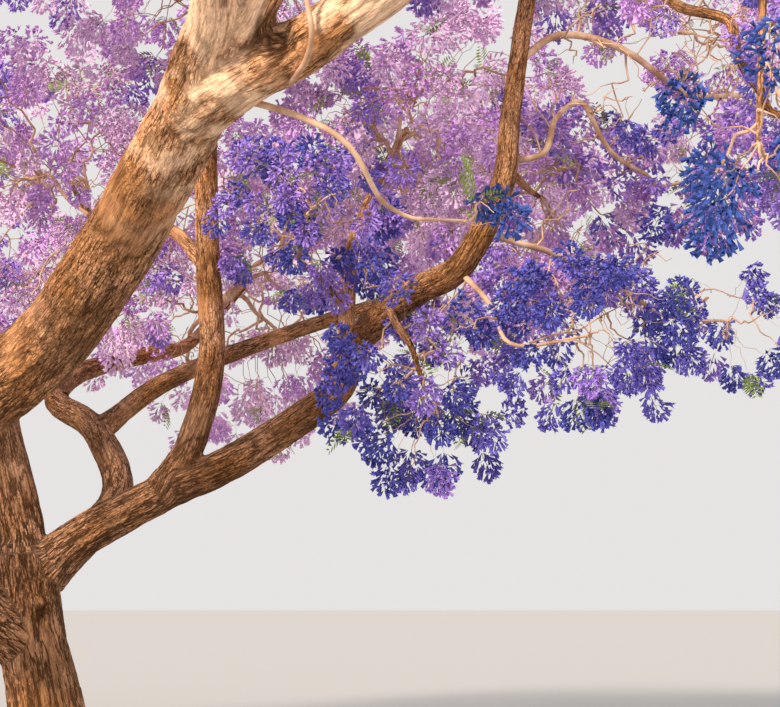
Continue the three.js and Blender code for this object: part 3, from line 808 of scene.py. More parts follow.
def place_on_line(corners, points, radii):
    """Share of the radius that each corner lies from the line, and its grain coordinates."""
    along, side, across = (part[0] for part in ring_frames(points[None]))
    steps = np.diff(points, axis=0)
    walked = walked_along(points)
    best = np.full(len(corners), np.inf)
    turn, thick, walk = np.zeros((3, len(corners)))
    for k, step in enumerate(steps):
        away = corners - points[k]
        share = np.clip(away @ step / (step @ step), 0, 1)
        out = away - share[:, None] * step
        radius = mix(radii[k], radii[k + 1], share)
        ratio = np.linalg.norm(out, axis=1) / radius
        nearer = ratio < best
        best[nearer] = ratio[nearer]
        thick[nearer] = radius[nearer]
        walk[nearer] = (walked[k] + share * np.linalg.norm(step))[nearer]
        middle_side = mix(side[k], side[k + 1], 0.5)
        middle_across = mix(across[k], across[k + 1], 0.5)
        turn[nearer] = np.arctan2(out @ middle_across, out @ middle_side)[nearer]
    past_tip = np.where(walk > walked[-1] - TINY, (corners - points[-1]) @ unit(steps[-1]), 0)
    before_foot = np.where(walk < TINY, (corners - points[0]) @ unit(steps[0]), 0)
    grain = np.stack([np.cos(turn) * thick, np.sin(turn) * thick, walk + past_tip + before_foot], 1)
    return best + past_tip / radii[-1], grain, thick


def noise_at(points):
    """Soft noise from -1 to 1 at each point."""
    return np.fromiter((noise.noise(point) for point in points.tolist()), float, len(points))


def bark_relief(grain, thick):
    """How far the surface moves at each place, in metres, and how much of a crack is there."""
    wander = noise_at(grain * WANDER)
    ridges = noise_at(grain * RIDGES + wander[:, None] * RIDGE_WANDER)
    finer = noise_at(grain * FINE_RIDGES + 31.0)
    scales = noise_at(grain * SCALES + 57.0)
    swelling = noise_at(grain * SWELLINGS + 83.0)
    darkening = np.exp(-((ridges / CRACK_WIDTH) ** 2))
    fine_crack = np.exp(-((finer / FINE_CRACK_WIDTH) ** 2))
    depth = DEEPEST_CRACK * np.clip(thick / DEEP_FROM_RADIUS, SHALLOWEST, 1)
    darkening_share = np.maximum(darkening, FINE_CRACK_DEPTH * fine_crack)
    return depth * (SCALE_HEIGHT * scales - darkening_share) + swelling * SWELLING_SHARE * thick, darkening_share


skin_corners = numbers_of(skin.data.vertices, "co", 3)
closest = np.full(len(skin_corners), np.inf)
grain = np.zeros_like(skin_corners)
relief, darkening_share, weights = np.zeros((3, len(skin_corners)))
owner = np.zeros(len(skin_corners), int)
for number, name in enumerate(thick_limbs):
    points, radii = limb_lines[name]
    kept = sorted({*range(0, len(points), PLACE_STEP), len(points) - 1})
    points, radii = points[kept], radii[kept]
    margin = radii.max() * NEAR_RADII
    near_box = (skin_corners > points.min(0) - margin) & (skin_corners < points.max(0) + margin)
    near = np.flatnonzero(near_box.all(1))
    ratio, place, thick = place_on_line(skin_corners[near], points, radii)
    touched = ratio < TOUCHED_RADII
    near, ratio, place, thick = near[touched], ratio[touched], place[touched], thick[touched]
    weight = np.exp(-ratio / BLEND_RADII)
    moves, cracks = bark_relief(place, thick)
    relief[near] += moves * weight
    darkening_share[near] += cracks * weight
    weights[near] += weight
    nearer = ratio < closest[near]
    closest[near[nearer]] = ratio[nearer]
    grain[near[nearer]] = place[nearer] + (number * GRAIN_SHIFT, 0, 0)
    owner[near[nearer]] = number
relief /= np.maximum(weights, LEAST_WEIGHT)
darkening_share /= np.maximum(weights, LEAST_WEIGHT)
print("the deepest crack is", round(-relief.min() * 1000), "mm deep")

# %% [markdown]
# The weights above count every limb that is near, the nearest most. Before the relief is cut, a
# few things are set right: nothing moves on the flat cut, the root flare gets shallow hollows
# between its roots, and nothing bulges just above the ground. Two knots are set in it: a hollow in
# the near fork, which two dents make, and the ring that a lost branch left on the trunk. The
# hollows of both are darkened with painted shade.

# %% Cut the relief
ROOT_LOBES = 6
HOLLOW_DEPTH = 0.05
FOOT_REACH = 0.6  # the root flare's skin lies within this of the middle, and below this height
FOOT_HEIGHT = 1.1
FADE_HEIGHT = 0.12  # below this nothing bulges
ON_GROUND = 0.001
FACES_DOWN = 0.9
MOST_CRACKED = 2.0  # inside a knot; the deepest of the other cracks have half of it
KNOT_RIM = 0.3  # these three are widths, as shares of the knot's size
KNOT_HOLLOW = 0.7
KNOT_SHADE_WIDTH = 0.75
# Each knot's dark value paints shade into its hollow.
KNOTS = (
    {"at": (2.11, -6.59, 3.95), "size": 0.12, "rise": 0.012, "hollow": 0.045, "dark": 2.0},
    {"at": (2.05, -6.60, 4.07), "size": 0.11, "rise": 0.0, "hollow": 0.03, "dark": 1.6},
    {"at": (-0.05, -0.22, 1.42), "size": 0.06, "rise": 0.03, "hollow": 0.03, "dark": 3.0},
)

normals = numbers_of(skin.data.vertices, "normal", 3)
height = skin_corners[:, 2]
bearing = np.arctan2(skin_corners[:, 1], skin_corners[:, 0])
root_wave = 0.5 - 0.5 * np.cos(ROOT_LOBES * bearing + 1.5 * np.sin(bearing))
at_foot = (np.hypot(skin_corners[:, 0], skin_corners[:, 1]) < FOOT_REACH) & (height < FOOT_HEIGHT)
scales = np.sin(skin_corners @ (61, 83, 97)) * np.sin(skin_corners @ (-71, 53, 89))
# Painted shade: each knot's hollow is darkened, on top of the cracks.
for knot in KNOTS:
    out = np.linalg.norm(skin_corners - knot["at"], axis=1) / knot["size"]
    relief += knot["rise"] * np.exp(-(((out - 1) / KNOT_RIM) ** 2))
    relief -= knot["hollow"] * np.exp(-((out / KNOT_HOLLOW) ** 2))
    darkening_share += knot["dark"] * np.exp(-((out / KNOT_SHADE_WIDTH) ** 2)) * (0.6 + 0.4 * scales)
relief[at_foot] -= (HOLLOW_DEPTH * root_wave * np.exp(-height / FLARE_HEIGHT))[at_foot]
relief[height < FADE_HEIGHT] = np.minimum(relief[height < FADE_HEIGHT], 0)
moved = skin_corners + normals * relief[:, None]
moved[:, 2] = np.where(height < ON_GROUND, 0, np.maximum(moved[:, 2], 0))
on_cut = (height < ON_GROUND) & (np.abs(normals[:, 2]) > FACES_DOWN)
moved[on_cut] = skin_corners[on_cut]
skin.data.vertices.foreach_set("co", moved.ravel())
skin.data.update()


def keep_places(piece, grain, darkening_share):
    """Stores where each corner lies, and how dark its cracks and the knots' painted shade make it, for
    the material.
    """
    place = piece.data.attributes.new("place_on_limb", "FLOAT_VECTOR", "POINT")
    place.data.foreach_set("vector", grain.astype(np.float32).ravel())
    darkening = piece.data.attributes.new("darkening", "FLOAT", "POINT")
    darkening.data.foreach_set("value", np.clip(darkening_share / MOST_CRACKED, 0, 1).astype(np.float32))


keep_places(skin, grain, darkening_share)
print("relief between", round(relief.min(), 4), "and", round(relief.max(), 4), "m")

# %% [markdown]
# The thinner limbs, and the stems that carry on into the masses of blossom, are too slim for the
# voxels. They stay tubes, their feet sunk into the limb that carries them. They take the same
# relief, scaled down by their thickness. A stem starts just inside the tip of its limb.

# %% Thin limbs and stems
TWIG_FOOT = 0.031  # a limb with a thinner foot than this has the smooth bark of a twig
STEM_SUNK = 3  # rings of the limb's tip that a stem starts inside
STEM_INSIDE = 0.96  # of the limb's radius, so that it stays inside
STEM_FEWEST = 6
THIN_CORNERS = 14
THIN_GRAIN = (5.1, 9)  # shifts from one limb to the next, and of them all, so that none match


def limb_with_stem(name, mass):
    """The end of a thick limb, or the whole of a thin one, carried on by the mass's stem."""
    points, radii = limb_lines[name]
    if name in thick_limbs:
        points, radii = points[-STEM_SUNK:], radii[-STEM_SUNK:] * STEM_INSIDE
    stem_points, stem_radii = grown[mass]["stem"]
    shares = np.linspace(0, 1, max(STEM_FEWEST, int(curve_length(stem_points) / SKIN_SPACING)))
    narrowing = np.interp(shares, np.linspace(0, 1, len(stem_radii)), stem_radii)
    stem_points = curve_through(stem_points, shares)
    return np.vstack([points, stem_points[1:]]), np.append(radii, narrowing[1:])


stem_limbs = {mass.limb: name for name, mass in MASSES.items()}
thin_lines = {}
twig_lines = []
for name, limb in LIMBS.items():
    if name in thick_limbs and name not in stem_limbs:
        continue
    line = limb_with_stem(name, stem_limbs[name]) if name in stem_limbs else limb_lines[name]
    if limb.foot < TWIG_FOOT:
        twig_lines.append(line)
    else:
        thin_lines[name] = line

thin_parts, thin_grain, thin_cracked = [], [], []
for number, (points, radii) in enumerate(thin_lines.values()):
    corners, faces = tubes(points[None], radii[None], THIN_CORNERS)
    turn = np.tile(np.arange(THIN_CORNERS) * 2 * math.pi / THIN_CORNERS, len(points))
    walked = np.repeat(walked_along(points), THIN_CORNERS)
    thick = np.repeat(radii, THIN_CORNERS)
    place = np.stack([np.cos(turn) * thick, np.sin(turn) * thick, walked], axis=1)
    place = place + (number * THIN_GRAIN[0], THIN_GRAIN[1], 0)
    moves, cracks = bark_relief(place, thick)
    outward = unit(corners - np.repeat(points, THIN_CORNERS, axis=0))
    thin_parts.append((corners + outward * moves[:, None], faces))
    thin_grain.append(place)
    thin_cracked.append(cracks)
thin_wood = mesh_object("thin_limbs_bark", *joined(thin_parts), raw_wood)
keep_places(thin_wood, np.concatenate(thin_grain), np.concatenate(thin_cracked))
print(len(thin_lines), "thin limbs and stems:", triangle_count(thin_wood), "triangles")

# %% [markdown]
# The bark's colours have two sources. What changes slowly follows the place in space: patches of
# golden brown and pinkish tan, broad patches of painted light and shade, painted shade low on the
# tree that gives way to painted light high up, and painted sun dapples round the near fork, where
# the cracks fade. What changes quickly follows the place on the limb. The ridges between the
# cracks are streaked along the limb. The cracks are narrow dark lines that run along the limb and
# waver, where one noise passes through its middle value. The old bark low on the tree has wider
# ones besides. A weak net of cross lines parts the ridges into scales. Here and there the bark is
# smooth, and the cracks fade out. The carved cracks are darkened too. The upper sides of leaning
# limbs are painted a little paler, as painted light from above, and the material finds them by the
# way the surface faces.

# %% Bark
WOOD_SHINE = 0.12
GOLDEN_BROWN = (0.53, 0.235, 0.085)
PINK_TAN = (0.72, 0.375, 0.20)
# The colour of painted sunlight on the bark, on the near fork and on upper sides.
SUNLIT_BARK = (1.0, 0.66, 0.43)
CRACK = (0.06, 0.024, 0.008)
WAVER = 0.045
# Painted shade low on the tree, giving way to painted light high up.
LOW_PAINTED_SHADE = {"below": 2.4, "tone": 0.94}
HIGH_PAINTED_LIGHT = {"above": 4.0, "tone": 1.05}
PAINTED_TOP_LIGHT = {"from": 0.15, "to": 0.95, "most": 0.2}
# Painted sunlight: pale dapples round the near fork.
SUNLIT_FORK = (2.2, -6.5, 4.0)
SUN_DAPPLES_WITHIN = 0.8
SUN_DAPPLES_END = 1.7
CRACK_IN_SUN_DAPPLES = 0.35
OLD_CRACKS_FADE = (2.2, 3.8)  # heights between which the wide cracks of old bark die away
NET = {"stretch": (1, 1, 0.28), "scale": 62}
BUMP = {"Strength": 0.6, "Distance": 0.008}

bark = Paint("bark", GOLDEN_BROWN, 0.9, WOOD_SHINE)
on_limb = bark.add("Attribute", {}, attribute_name="place_on_limb")["Vector"]
in_space = bark.add("TexCoord", {})["Object"]
height = bark.add("SeparateXYZ", {"Vector": in_space})["Z"]

patches = bark.noise(in_space, 2.6, (1, 1, 0.7), 4)
ridge_colour = bark.ramp(patches, (0.36, GOLDEN_BROWN), (0.64, PINK_TAN))
# Broad patches of painted light and painted shade, lighter and darker over the bark.
painted_shade_noise = bark.noise(in_space, 1.8, (1, 1, 0.8), 3, 0.7)
painted_light_and_shade = bark.ramp(painted_shade_noise, (0.35, 0.62), (0.62, 1.15))
patch_lit_and_shaded = bark.mix(1.0, ridge_colour, painted_light_and_shade, "MULTIPLY")
# Painted shade: the bark is darker low on the tree and lighter high up, by height alone.
shade_heights = (LOW_PAINTED_SHADE["below"], HIGH_PAINTED_LIGHT["above"], LOW_PAINTED_SHADE["tone"], HIGH_PAINTED_LIGHT["tone"])
height_shaded = bark.mix(1.0, patch_lit_and_shaded, bark.span(height, *shade_heights), "MULTIPLY")
streaks = bark.noise(on_limb, 90, (1, 1, 0.13), 4, 0.6)
streak_tone = bark.ramp(streaks, (0.3, 0.68), (0.7, 1.32))
streaked = bark.mix(0.85, height_shaded, streak_tone, "MULTIPLY")

# Painted light: the upper sides of leaning limbs are paler, found by the way the surface faces.
facing = bark.add("NewGeometry", {})["Normal"]
upward = bark.add("SeparateXYZ", {"Vector": facing})["Z"]
top_light_share = bark.span(upward, PAINTED_TOP_LIGHT["from"], PAINTED_TOP_LIGHT["to"], 0, PAINTED_TOP_LIGHT["most"])
# Painted sunlight: pale dapples round the near fork, where the cracks fade too.
fork_places = {0: in_space, 1: SUNLIT_FORK}
from_fork = bark.add("VectorMath", fork_places, operation="DISTANCE")["Value"]
near_sunlit_fork = bark.span(from_fork, SUN_DAPPLES_END, SUN_DAPPLES_WITHIN)
sun_dapples = bark.noise(in_space, 2.8, (1, 1, 1), 3, 0.55)
sun_dapple_share = bark.ramp(sun_dapples, (0.44, 0.05), (0.54, 1))
painted_sun_share = bark.mix(1.0, near_sunlit_fork, sun_dapple_share, "MULTIPLY")
sunlit_bark = bark.mix(0.7, SUNLIT_BARK, streak_tone, "MULTIPLY")
top_lit = bark.mix(top_light_share, streaked, sunlit_bark)
sun_dappled = bark.mix(painted_sun_share, top_lit, sunlit_bark)

# The carved cracks darken the bark, and so does the knots' painted shade in their hollows.
carved = bark.add("Attribute", {}, attribute_name="darkening")["Fac"]
carved_lines = bark.ramp(carved, (0.22, 0), (0.5, 0.5), (0.9, 0.95))
darkened = bark.mix(carved_lines, sun_dappled, CRACK)
smooth_patches = bark.noise(in_space, 1.9, (1, 1, 0.6), 3, 0.6)
cracked_share = bark.ramp(smooth_patches, (0.33, 0.25), (0.46, 1))
# Cracks fade in the painted sun dapples as well as in the smooth patches.
cracks_in_sun = bark.mix(painted_sun_share, 1, CRACK_IN_SUN_DAPPLES)
smooth_and_sunlit = bark.mix(1.0, cracked_share, cracks_in_sun, "MULTIPLY")
cracks = bark.noise(on_limb, 34, (1, 1, 0.1), 5, 0.56)
narrow_lines = bark.ramp(cracks, (0.463, 0), (0.486, 0.97), (0.506, 0.97), (0.53, 0))
crack_lines = bark.mix(1.0, narrow_lines, smooth_and_sunlit, "MULTIPLY")
old_cracks = bark.noise(on_limb, 17, (1, 1, 0.17), 5, 0.56)
wide_lines = bark.ramp(old_cracks, (0.44, 0), (0.473, 0.92), (0.512, 0.92), (0.545, 0))
old_share = bark.span(height, OLD_CRACKS_FADE[1], OLD_CRACKS_FADE[0])
old_crack_lines = bark.mix(1.0, wide_lines, old_share, "MULTIPLY")
deeply_lined = bark.mix(old_crack_lines, darkened, CRACK)
lined = bark.mix(crack_lines, deeply_lined, CRACK)

waver = bark.add("TexNoise", {"Vector": on_limb, "Scale": 22, "Detail": 4})["Color"]
waver_amount = bark.add("VectorMath", {0: waver, "Scale": WAVER}, operation="SCALE")["Vector"]
wavering = bark.add("VectorMath", {0: on_limb, 1: waver_amount}, operation="ADD")["Vector"]
cell_place = bark.add("Mapping", {"Vector": wavering, "Scale": NET["stretch"]})["Vector"]
cell_sizes = {"Vector": cell_place, "Scale": NET["scale"]}
cells = bark.add("TexVoronoi", cell_sizes, feature="DISTANCE_TO_EDGE")["Distance"]
net = bark.ramp(cells, (0.03, 0.66), (0.2, 0))
fine_lines = bark.mix(1.0, net, smooth_and_sunlit, "MULTIPLY")
bark_colour = bark.mix(fine_lines, lined, CRACK)

all_cracks = bark.mix(1.0, crack_lines, old_crack_lines, "LIGHTEN")
bump_height = bark.mix(0.5, all_cracks, fine_lines, "ADD")
bump = bark.add("Bump", {"Height": bump_height, **BUMP}, invert=True)["Normal"]
bark.fill(bark.shader, {"Base Color": bark_colour, "Normal": bump})
for piece in (skin, thin_wood):
    piece.data.materials.clear()
    piece.data.materials.append(bark.material)
print("the bark's material has", len(bark.nodes), "nodes")

# %% [markdown]
# The skin has more triangles than one piece may have. The skin is parted into three: the near bough
# with its limbs, the trunk with the limbs that the photo shows to its right, and the middle stem
# with everything behind and to the left. The partings run round the feet of the limbs.

# %% Part the skin
SKIN_PARTS = {
    "near_bough_bark": (
        "near_bough_lower", "near_bough_upper", "near_limb_right", "near_limb_up", "near_limb_back",
        "left_front_limb", "front_left_limb",
    ),
    "middle_and_back_bark": ("middle_stem", "back_bough", "back_right_limb", "left_limb"),
    "trunk_and_right_bark": ("trunk", "right_bough", "upright_limb", "outer_limb"),
}

first_corner = numbers_of(skin.data.polygons, "loop_start", 1, int)
loop_corner = numbers_of(skin.data.loops, "vertex_index", 1, int)
limb_of_face = owner[loop_corner[first_corner]]
skin_pieces = {}
*parted_off, last_part = SKIN_PARTS
for name in parted_off:
    chosen = np.isin(limb_of_face, [thick_limbs.index(limb) for limb in SKIN_PARTS[name]])
    skin.data.polygons.foreach_set("select", chosen)
    bpy.ops.object.select_all(action="DESELECT")
    skin.select_set(True)
    edit(skin, (bpy.ops.mesh.separate, {"type": "SELECTED"}))
    skin_pieces[name] = next(piece for piece in bpy.context.selected_objects if piece is not skin)
    limb_of_face = limb_of_face[~chosen]
skin_pieces[last_part] = skin
for name, piece in skin_pieces.items():
    piece.name = name
    piece.data.polygons.foreach_set("use_smooth", np.full(len(piece.data.polygons), True))
    dress(piece, SKIN_PARTS[name])
dress(thin_wood, [name for name in thin_lines if name not in thick_limbs])

# %% [markdown]
# From here on the growth is finer than the solids'. Many hundred twigs share one rule, so each
# step works on arrays that hold all of them. Real jacaranda twigs are never straight: they bow
# away from the branch, wander, and turn up again towards their ends. A cubic bow from fork to
# root, with a slow wobble laid over it, gives that line.

# %% Branches and twigs
twig_random = np.random.default_rng(11)
BOW_PULL = 0.4  # how far a bow keeps to its first and its last way, as a share of its span
BRANCH = {"points": 12, "wobble": 0.035, "waves": 1.6, "fork_swell": 1.3, "corners": 8}
SMOOTH_LIMB = {"wobble": 0.012, "waves": 2.3, "corners": 10}


def bows(starts, start_ways, ends, end_ways, count):
    """Curves that leave each start one way and arrive at each end another."""
    t = np.linspace(0, 1, count)[None, :, None]
    span = np.linalg.norm(ends - starts, axis=1)[:, None]
    first = starts + start_ways * span * BOW_PULL
    second = ends - end_ways * span * BOW_PULL
    return (
        (1 - t) ** 3 * starts[:, None]
        + 3 * t * (1 - t) ** 2 * first[:, None]
        + 3 * t**2 * (1 - t) * second[:, None]
        + t**3 * ends[:, None]
    )


def wobble(lines, amount, waves):
    """Sways each line sideways, but leaves both its ends where they are."""
    count, steps, _ = lines.shape
    t = np.linspace(0, 1, steps)
    hold = np.sin(math.pi * t)[None, :, None]
    length = np.linalg.norm(lines[:, -1] - lines[:, 0], axis=1)[:, None, None]
    phase = twig_random.uniform(0, 2 * math.pi, (count, 1, 3))
    swing = np.sin(t[None, :, None] * waves * 2 * math.pi + phase)
    return lines + swing * hold * length * amount


def gather(kind):
    """All the masses' sprays of a kind, as arrays."""
    rows = [(i, spray) for i, mass in enumerate(grown.values()) for spray in mass[kind]]
    sprays = {key: np.array([spray[key] for _, spray in rows]) for key in rows[0][1]}
    sprays["mass"] = np.array([i for i, _ in rows])
    return sprays


twig_parts = []
for mass in grown.values():
    for points, radii in mass["branches"]:
        shares = np.linspace(0, 1, BRANCH["points"])
        line = wobble(curve_through(points, shares)[None], BRANCH["wobble"], BRANCH["waves"])
        swollen_foot = BRANCH["fork_swell"] * radii[0]
        swollen = np.interp(shares, (0, 0.06, 0.5, 1), (swollen_foot, *radii))
        twig_parts.append(tubes(line, swollen[None], BRANCH["corners"]))
print(len(twig_parts), "branches")
for points, radii in twig_lines:
    line = wobble(points[None], SMOOTH_LIMB["wobble"], SMOOTH_LIMB["waves"])
    twig_parts.append(tubes(line, radii[None], SMOOTH_LIMB["corners"]))

# %% [markdown]
# A spray in the solids is one spindle on a straight twig. Here the twig bows out from its fork
# into the spindle, and carries on through it as the main shoot. Side shoots leave it all round, a
# golden turn apart, the lowest ones longest, and all of them bend up a little. A long spray has
# four of them, and a short one has none. Every shoot ends where a bunch of flowers begins.

# %% Shoots
SHOOT_END = 0.74  # the main shoot's share of the spray; its bunch of flowers takes the rest
LENGTH_PER_SHOOT = 0.23
MOST_SIDE_SHOOTS = 4
FULL_LENGTH = 0.7  # a spray of this length has a twig of full thickness
SIDE_LENGTH = 0.46
SIDE_POINTS = 5
FEWEST_CORNERS = 3
TWIG_TAPER = (1.7, 1.25, 0.85, 0.35)  # at the fork, a step on, at the spray's root, at the tip
SIDE_TAPER = (0.6, 0.35)
ANY_TURN = 7  # a little more than once round
TWIG_WOBBLE = (0.075, 2.1)  # how far it sways, as a share of its length, and in how many waves
SHOOT_WOBBLE = (0.05, 1.2)
SIDE_WOBBLE = (0.06, 1)
THICKNESSES = (0.35, 1.2)  # the least and the most of a full thickness
SIDE_SHOOTS_FROM = 0.05
SIDE_SHOOTS_OVER = 0.6
SIDE_STRAY = (0.25, 0.75)  # where in its own stretch each one leaves
SIDE_SPANS = (0.75, 1.1)
FIRST_KIND = {"thick": 0.0115, "corners": 5, "twig_points": 9, "shoot_points": 8}
SECOND_KIND = {"thick": 0.0065, "corners": 3, "twig_points": 7, "shoot_points": 5}


def squares(ways):
    """Two directions square to each way."""
    side = unit(np.cross(ways, NO_LIMBS_WAY))
    return side, np.cross(ways, side)


def square_to(ways, turns):
    """Directions square to the ways, at the given turns round them."""
    side, across = squares(ways)
    return side * np.cos(turns)[:, None] + across * np.sin(turns)[:, None]


def last_way(lines):
    return unit(lines[:, -1] - lines[:, -2])


def grow_shoots(sprays, kind):
    """Tubes of the twigs and shoots, and the place, way and spray of each bunch."""
    count = len(sprays["root"])
    axis, length = sprays["axis"], sprays["length"][:, None]
    leaves = unit(sprays["root"] - sprays["fork"] + TINY)
    outward = unit(leaves * 0.8 + square_to(leaves, twig_random.uniform(0, ANY_TURN, count)) * 0.5)
    twig = bows(sprays["fork"], outward, sprays["root"], axis, kind["twig_points"])
    twig = wobble(twig, *TWIG_WOBBLE)
    ends = sprays["root"] + axis * length * SHOOT_END
    shoot = bows(sprays["root"], axis, ends, unit(axis + (0, 0, 0.25)), kind["shoot_points"])
    shoot = wobble(shoot, *SHOOT_WOBBLE)
    line = np.concatenate([twig, shoot[:, 1:]], axis=1)
    root_at = kind["twig_points"] - 1
    tip_at = root_at + kind["shoot_points"] - 1
    taper = np.interp(np.arange(tip_at + 1), (0, 1, root_at, tip_at), TWIG_TAPER)
    thick = kind["thick"] * np.clip(length / FULL_LENGTH, *THICKNESSES)
    parts = [tubes(line, taper * thick, kind["corners"])]
    places, ways, owners = [line[:, -1]], [last_way(line)], [np.arange(count)]
    phase = twig_random.uniform(0, ANY_TURN, count)
    side_shoots = (sprays["length"] / LENGTH_PER_SHOOT).astype(int) - 1
    side_shoots = np.clip(side_shoots, 0, MOST_SIDE_SHOOTS)
    for k in range(MOST_SIDE_SHOOTS):
        rows = np.flatnonzero(side_shoots > k)
        if not len(rows):
            break
        stray = twig_random.uniform(*SIDE_STRAY, len(rows))
        share = SIDE_SHOOTS_FROM + SIDE_SHOOTS_OVER * (k + stray) / side_shoots[rows]
        place = share * (kind["shoot_points"] - 1)
        part = place.astype(int)
        start = mix(shoot[rows, part], shoot[rows, part + 1], (place - part)[:, None])
        side_way = square_to(axis[rows], phase[rows] + k * GOLDEN_TURN)
        way = unit(axis[rows] * 0.5 + side_way)
        span = length[rows] * SIDE_LENGTH * (1.1 - 0.7 * share[:, None])
        span = span * twig_random.uniform(*SIDE_SPANS, (len(rows), 1))
        end = start + way * span + axis[rows] * span * 0.25 + (0, 0, 0.02)
        arrive = unit(axis[rows] + side_way * 0.4 + (0, 0, 0.3))
        side = wobble(bows(start, way, end, arrive, SIDE_POINTS), *SIDE_WOBBLE)
        taper = np.linspace(*SIDE_TAPER, SIDE_POINTS)
        parts.append(tubes(side, taper * thick[rows], FEWEST_CORNERS))
        places.append(side[:, -1])
        ways.append(last_way(side))
        owners.append(rows)
    return parts, np.concatenate(places), np.concatenate(ways), np.concatenate(owners)


first_sprays = gather("first")
second_sprays = gather("second")
first_parts, first_places, first_ways, first_owners = grow_shoots(first_sprays, FIRST_KIND)
second_parts, second_places, second_ways, second_owners = grow_shoots(second_sprays, SECOND_KIND)
twig_parts += first_parts
print(len(first_places) + len(second_places), "shoots end in a bunch of flowers")

# %% [markdown]
# The slender limbs carry side twigs of their own. These wind up and outwards and fork twice, and
# most of their ends are bare. The two near branches at the fork have none. A young shoot also
# climbs over the near fork.

# %% Side twigs
HOST_FOOT = 0.05  # a limb with a thinner foot than this has side twigs
PLAIN_LIMBS = ("near_right_branch", "near_arching_branch")
SIDE_TWIG_STEP = 0.15
SIDE_TWIG_PLACES = (0.2, 0.95)  # the shares of a limb between which its side twigs stand
SIDE_TWIG_SPAN = (0.25, 0.65)
SIDE_TWIG_POINTS = 9
SIDE_TWIG_RADII = (0.012, 0.008, 0.003)
SIDE_TWIG_CORNERS = 4
SIDE_TWIG_WOBBLE = (0.12, 1.7)
FORKS_AT = (3, 6)  # the points of a side twig where it forks
FORK_TURN = 2.2  # how far round the twig the second fork stands from the first
TWIGLET_LENGTH = 0.5  # as a share of the twig's
TWIGLET_RADII = (0.0055, 0.0025)
TWIGLET_WOBBLE = (0.1, 1.2)
BUNCH_CHANCE = 0.13
SMALL_SPRAY = (0.2, 0.38)  # its bunches are as large as those on sprays of these lengths
FORK_SHOOT = {
    "run": [(2.16, -6.47, 3.82), (2.235, -6.63, 3.87), (2.265, -6.75, 3.96), (2.245, -6.8, 4.09),
            (2.235, -6.86, 4.25), (2.2, -6.9, 4.5)],
    "points": 24, "radii": (0.015, 0.01), "corners": 8,
}

starts, alongs, hosts = [], [], []
for name, limb in LIMBS.items():
    if limb.foot >= HOST_FOOT or name in PLAIN_LIMBS:
        continue
    points, _ = limb_lines[name]
    number = int(curve_length(limb.run) / SIDE_TWIG_STEP)
    at = (np.linspace(*SIDE_TWIG_PLACES, number) * (len(points) - 1)).astype(int)
    starts.append(points[at])
    alongs.append(unit(points[at + 1] - points[at]))
    hosts += [list(MASSES).index(stem_limbs[name])] * number
starts, alongs = np.concatenate(starts), np.concatenate(alongs)
turns = np.arange(len(starts)) * GOLDEN_TURN
leave = unit(square_to(alongs, turns) + alongs * 0.4 + (0, 0, 0.35))
span = twig_random.uniform(*SIDE_TWIG_SPAN, (len(starts), 1))
arrive = unit(leave * 0.6 + twig_random.normal(0, 0.5, leave.shape))
side_line = bows(starts, leave, starts + leave * span, arrive, SIDE_TWIG_POINTS)
side_line = wobble(side_line, *SIDE_TWIG_WOBBLE)
side_steps = np.arange(SIDE_TWIG_POINTS)
side_radii = np.interp(side_steps, (0, 1, SIDE_TWIG_POINTS - 1), SIDE_TWIG_RADII)
alike = np.ones((len(starts), 1))
twig_parts.append(tubes(side_line, side_radii * alike, SIDE_TWIG_CORNERS))
side_ends, side_end_ways = [side_line[:, -1]], [arrive]
twiglet_radii = np.linspace(*TWIGLET_RADII, SIDE_POINTS) * alike
for number, fork_at in enumerate(FORKS_AT):
    forks = side_line[:, fork_at]
    onward = unit(side_line[:, fork_at + 1] - forks)
    fork_way = unit(onward + square_to(onward, turns + FORK_TURN * number) * 0.8 + (0, 0, 0.2))
    ends = forks + fork_way * span * TWIGLET_LENGTH
    twiglet = wobble(bows(forks, onward, ends, fork_way, SIDE_POINTS), *TWIGLET_WOBBLE)
    twig_parts.append(tubes(twiglet, twiglet_radii, FEWEST_CORNERS))
    side_ends.append(ends)
    side_end_ways.append(fork_way)
blooms = twig_random.uniform(size=len(starts) * len(side_ends)) < BUNCH_CHANCE
side_places = np.concatenate(side_ends)[blooms]
side_ways = np.concatenate(side_end_ways)[blooms]
side_masses = np.array(hosts * len(side_ends))[blooms]
side_lengths = twig_random.uniform(*SMALL_SPRAY, len(side_places))
shoot_line = curve_through(FORK_SHOOT["run"], np.linspace(0, 1, FORK_SHOOT["points"]))
shoot_radii = np.linspace(*FORK_SHOOT["radii"], FORK_SHOOT["points"])
twig_parts.append(tubes(shoot_line[None], shoot_radii[None], FORK_SHOOT["corners"]))
print(len(starts), "side twigs, with", len(side_places), "bunches")

# %% [markdown]
# Young bark is smooth, and pale tan against the blossom. A slow change of tone is enough.

# %% Twig bark
TWIG_TAN = (0.77, 0.52, 0.35)
TWIG_BROWN = (0.46, 0.26, 0.155)

twig_bark = Paint("twig_bark", TWIG_TAN, 0.8, WOOD_SHINE)
object_place = twig_bark.add("TexCoord", {})["Object"]
tone = twig_bark.noise(object_place, 7, (1, 1, 1), 3)
twig_colour = twig_bark.ramp(tone, (0.38, TWIG_BROWN), (0.6, TWIG_TAN))
twig_bark.fill(twig_bark.shader, {"Base Color": twig_colour})

twigs = mesh_object("branches_and_twigs", *joined(twig_parts), twig_bark.material)
fine_twigs = mesh_object("fine_twigs", *joined(second_parts), twig_bark.material)
dress(twigs, [name for name, limb in LIMBS.items() if limb.foot < TWIG_FOOT])
dress(fine_twigs)

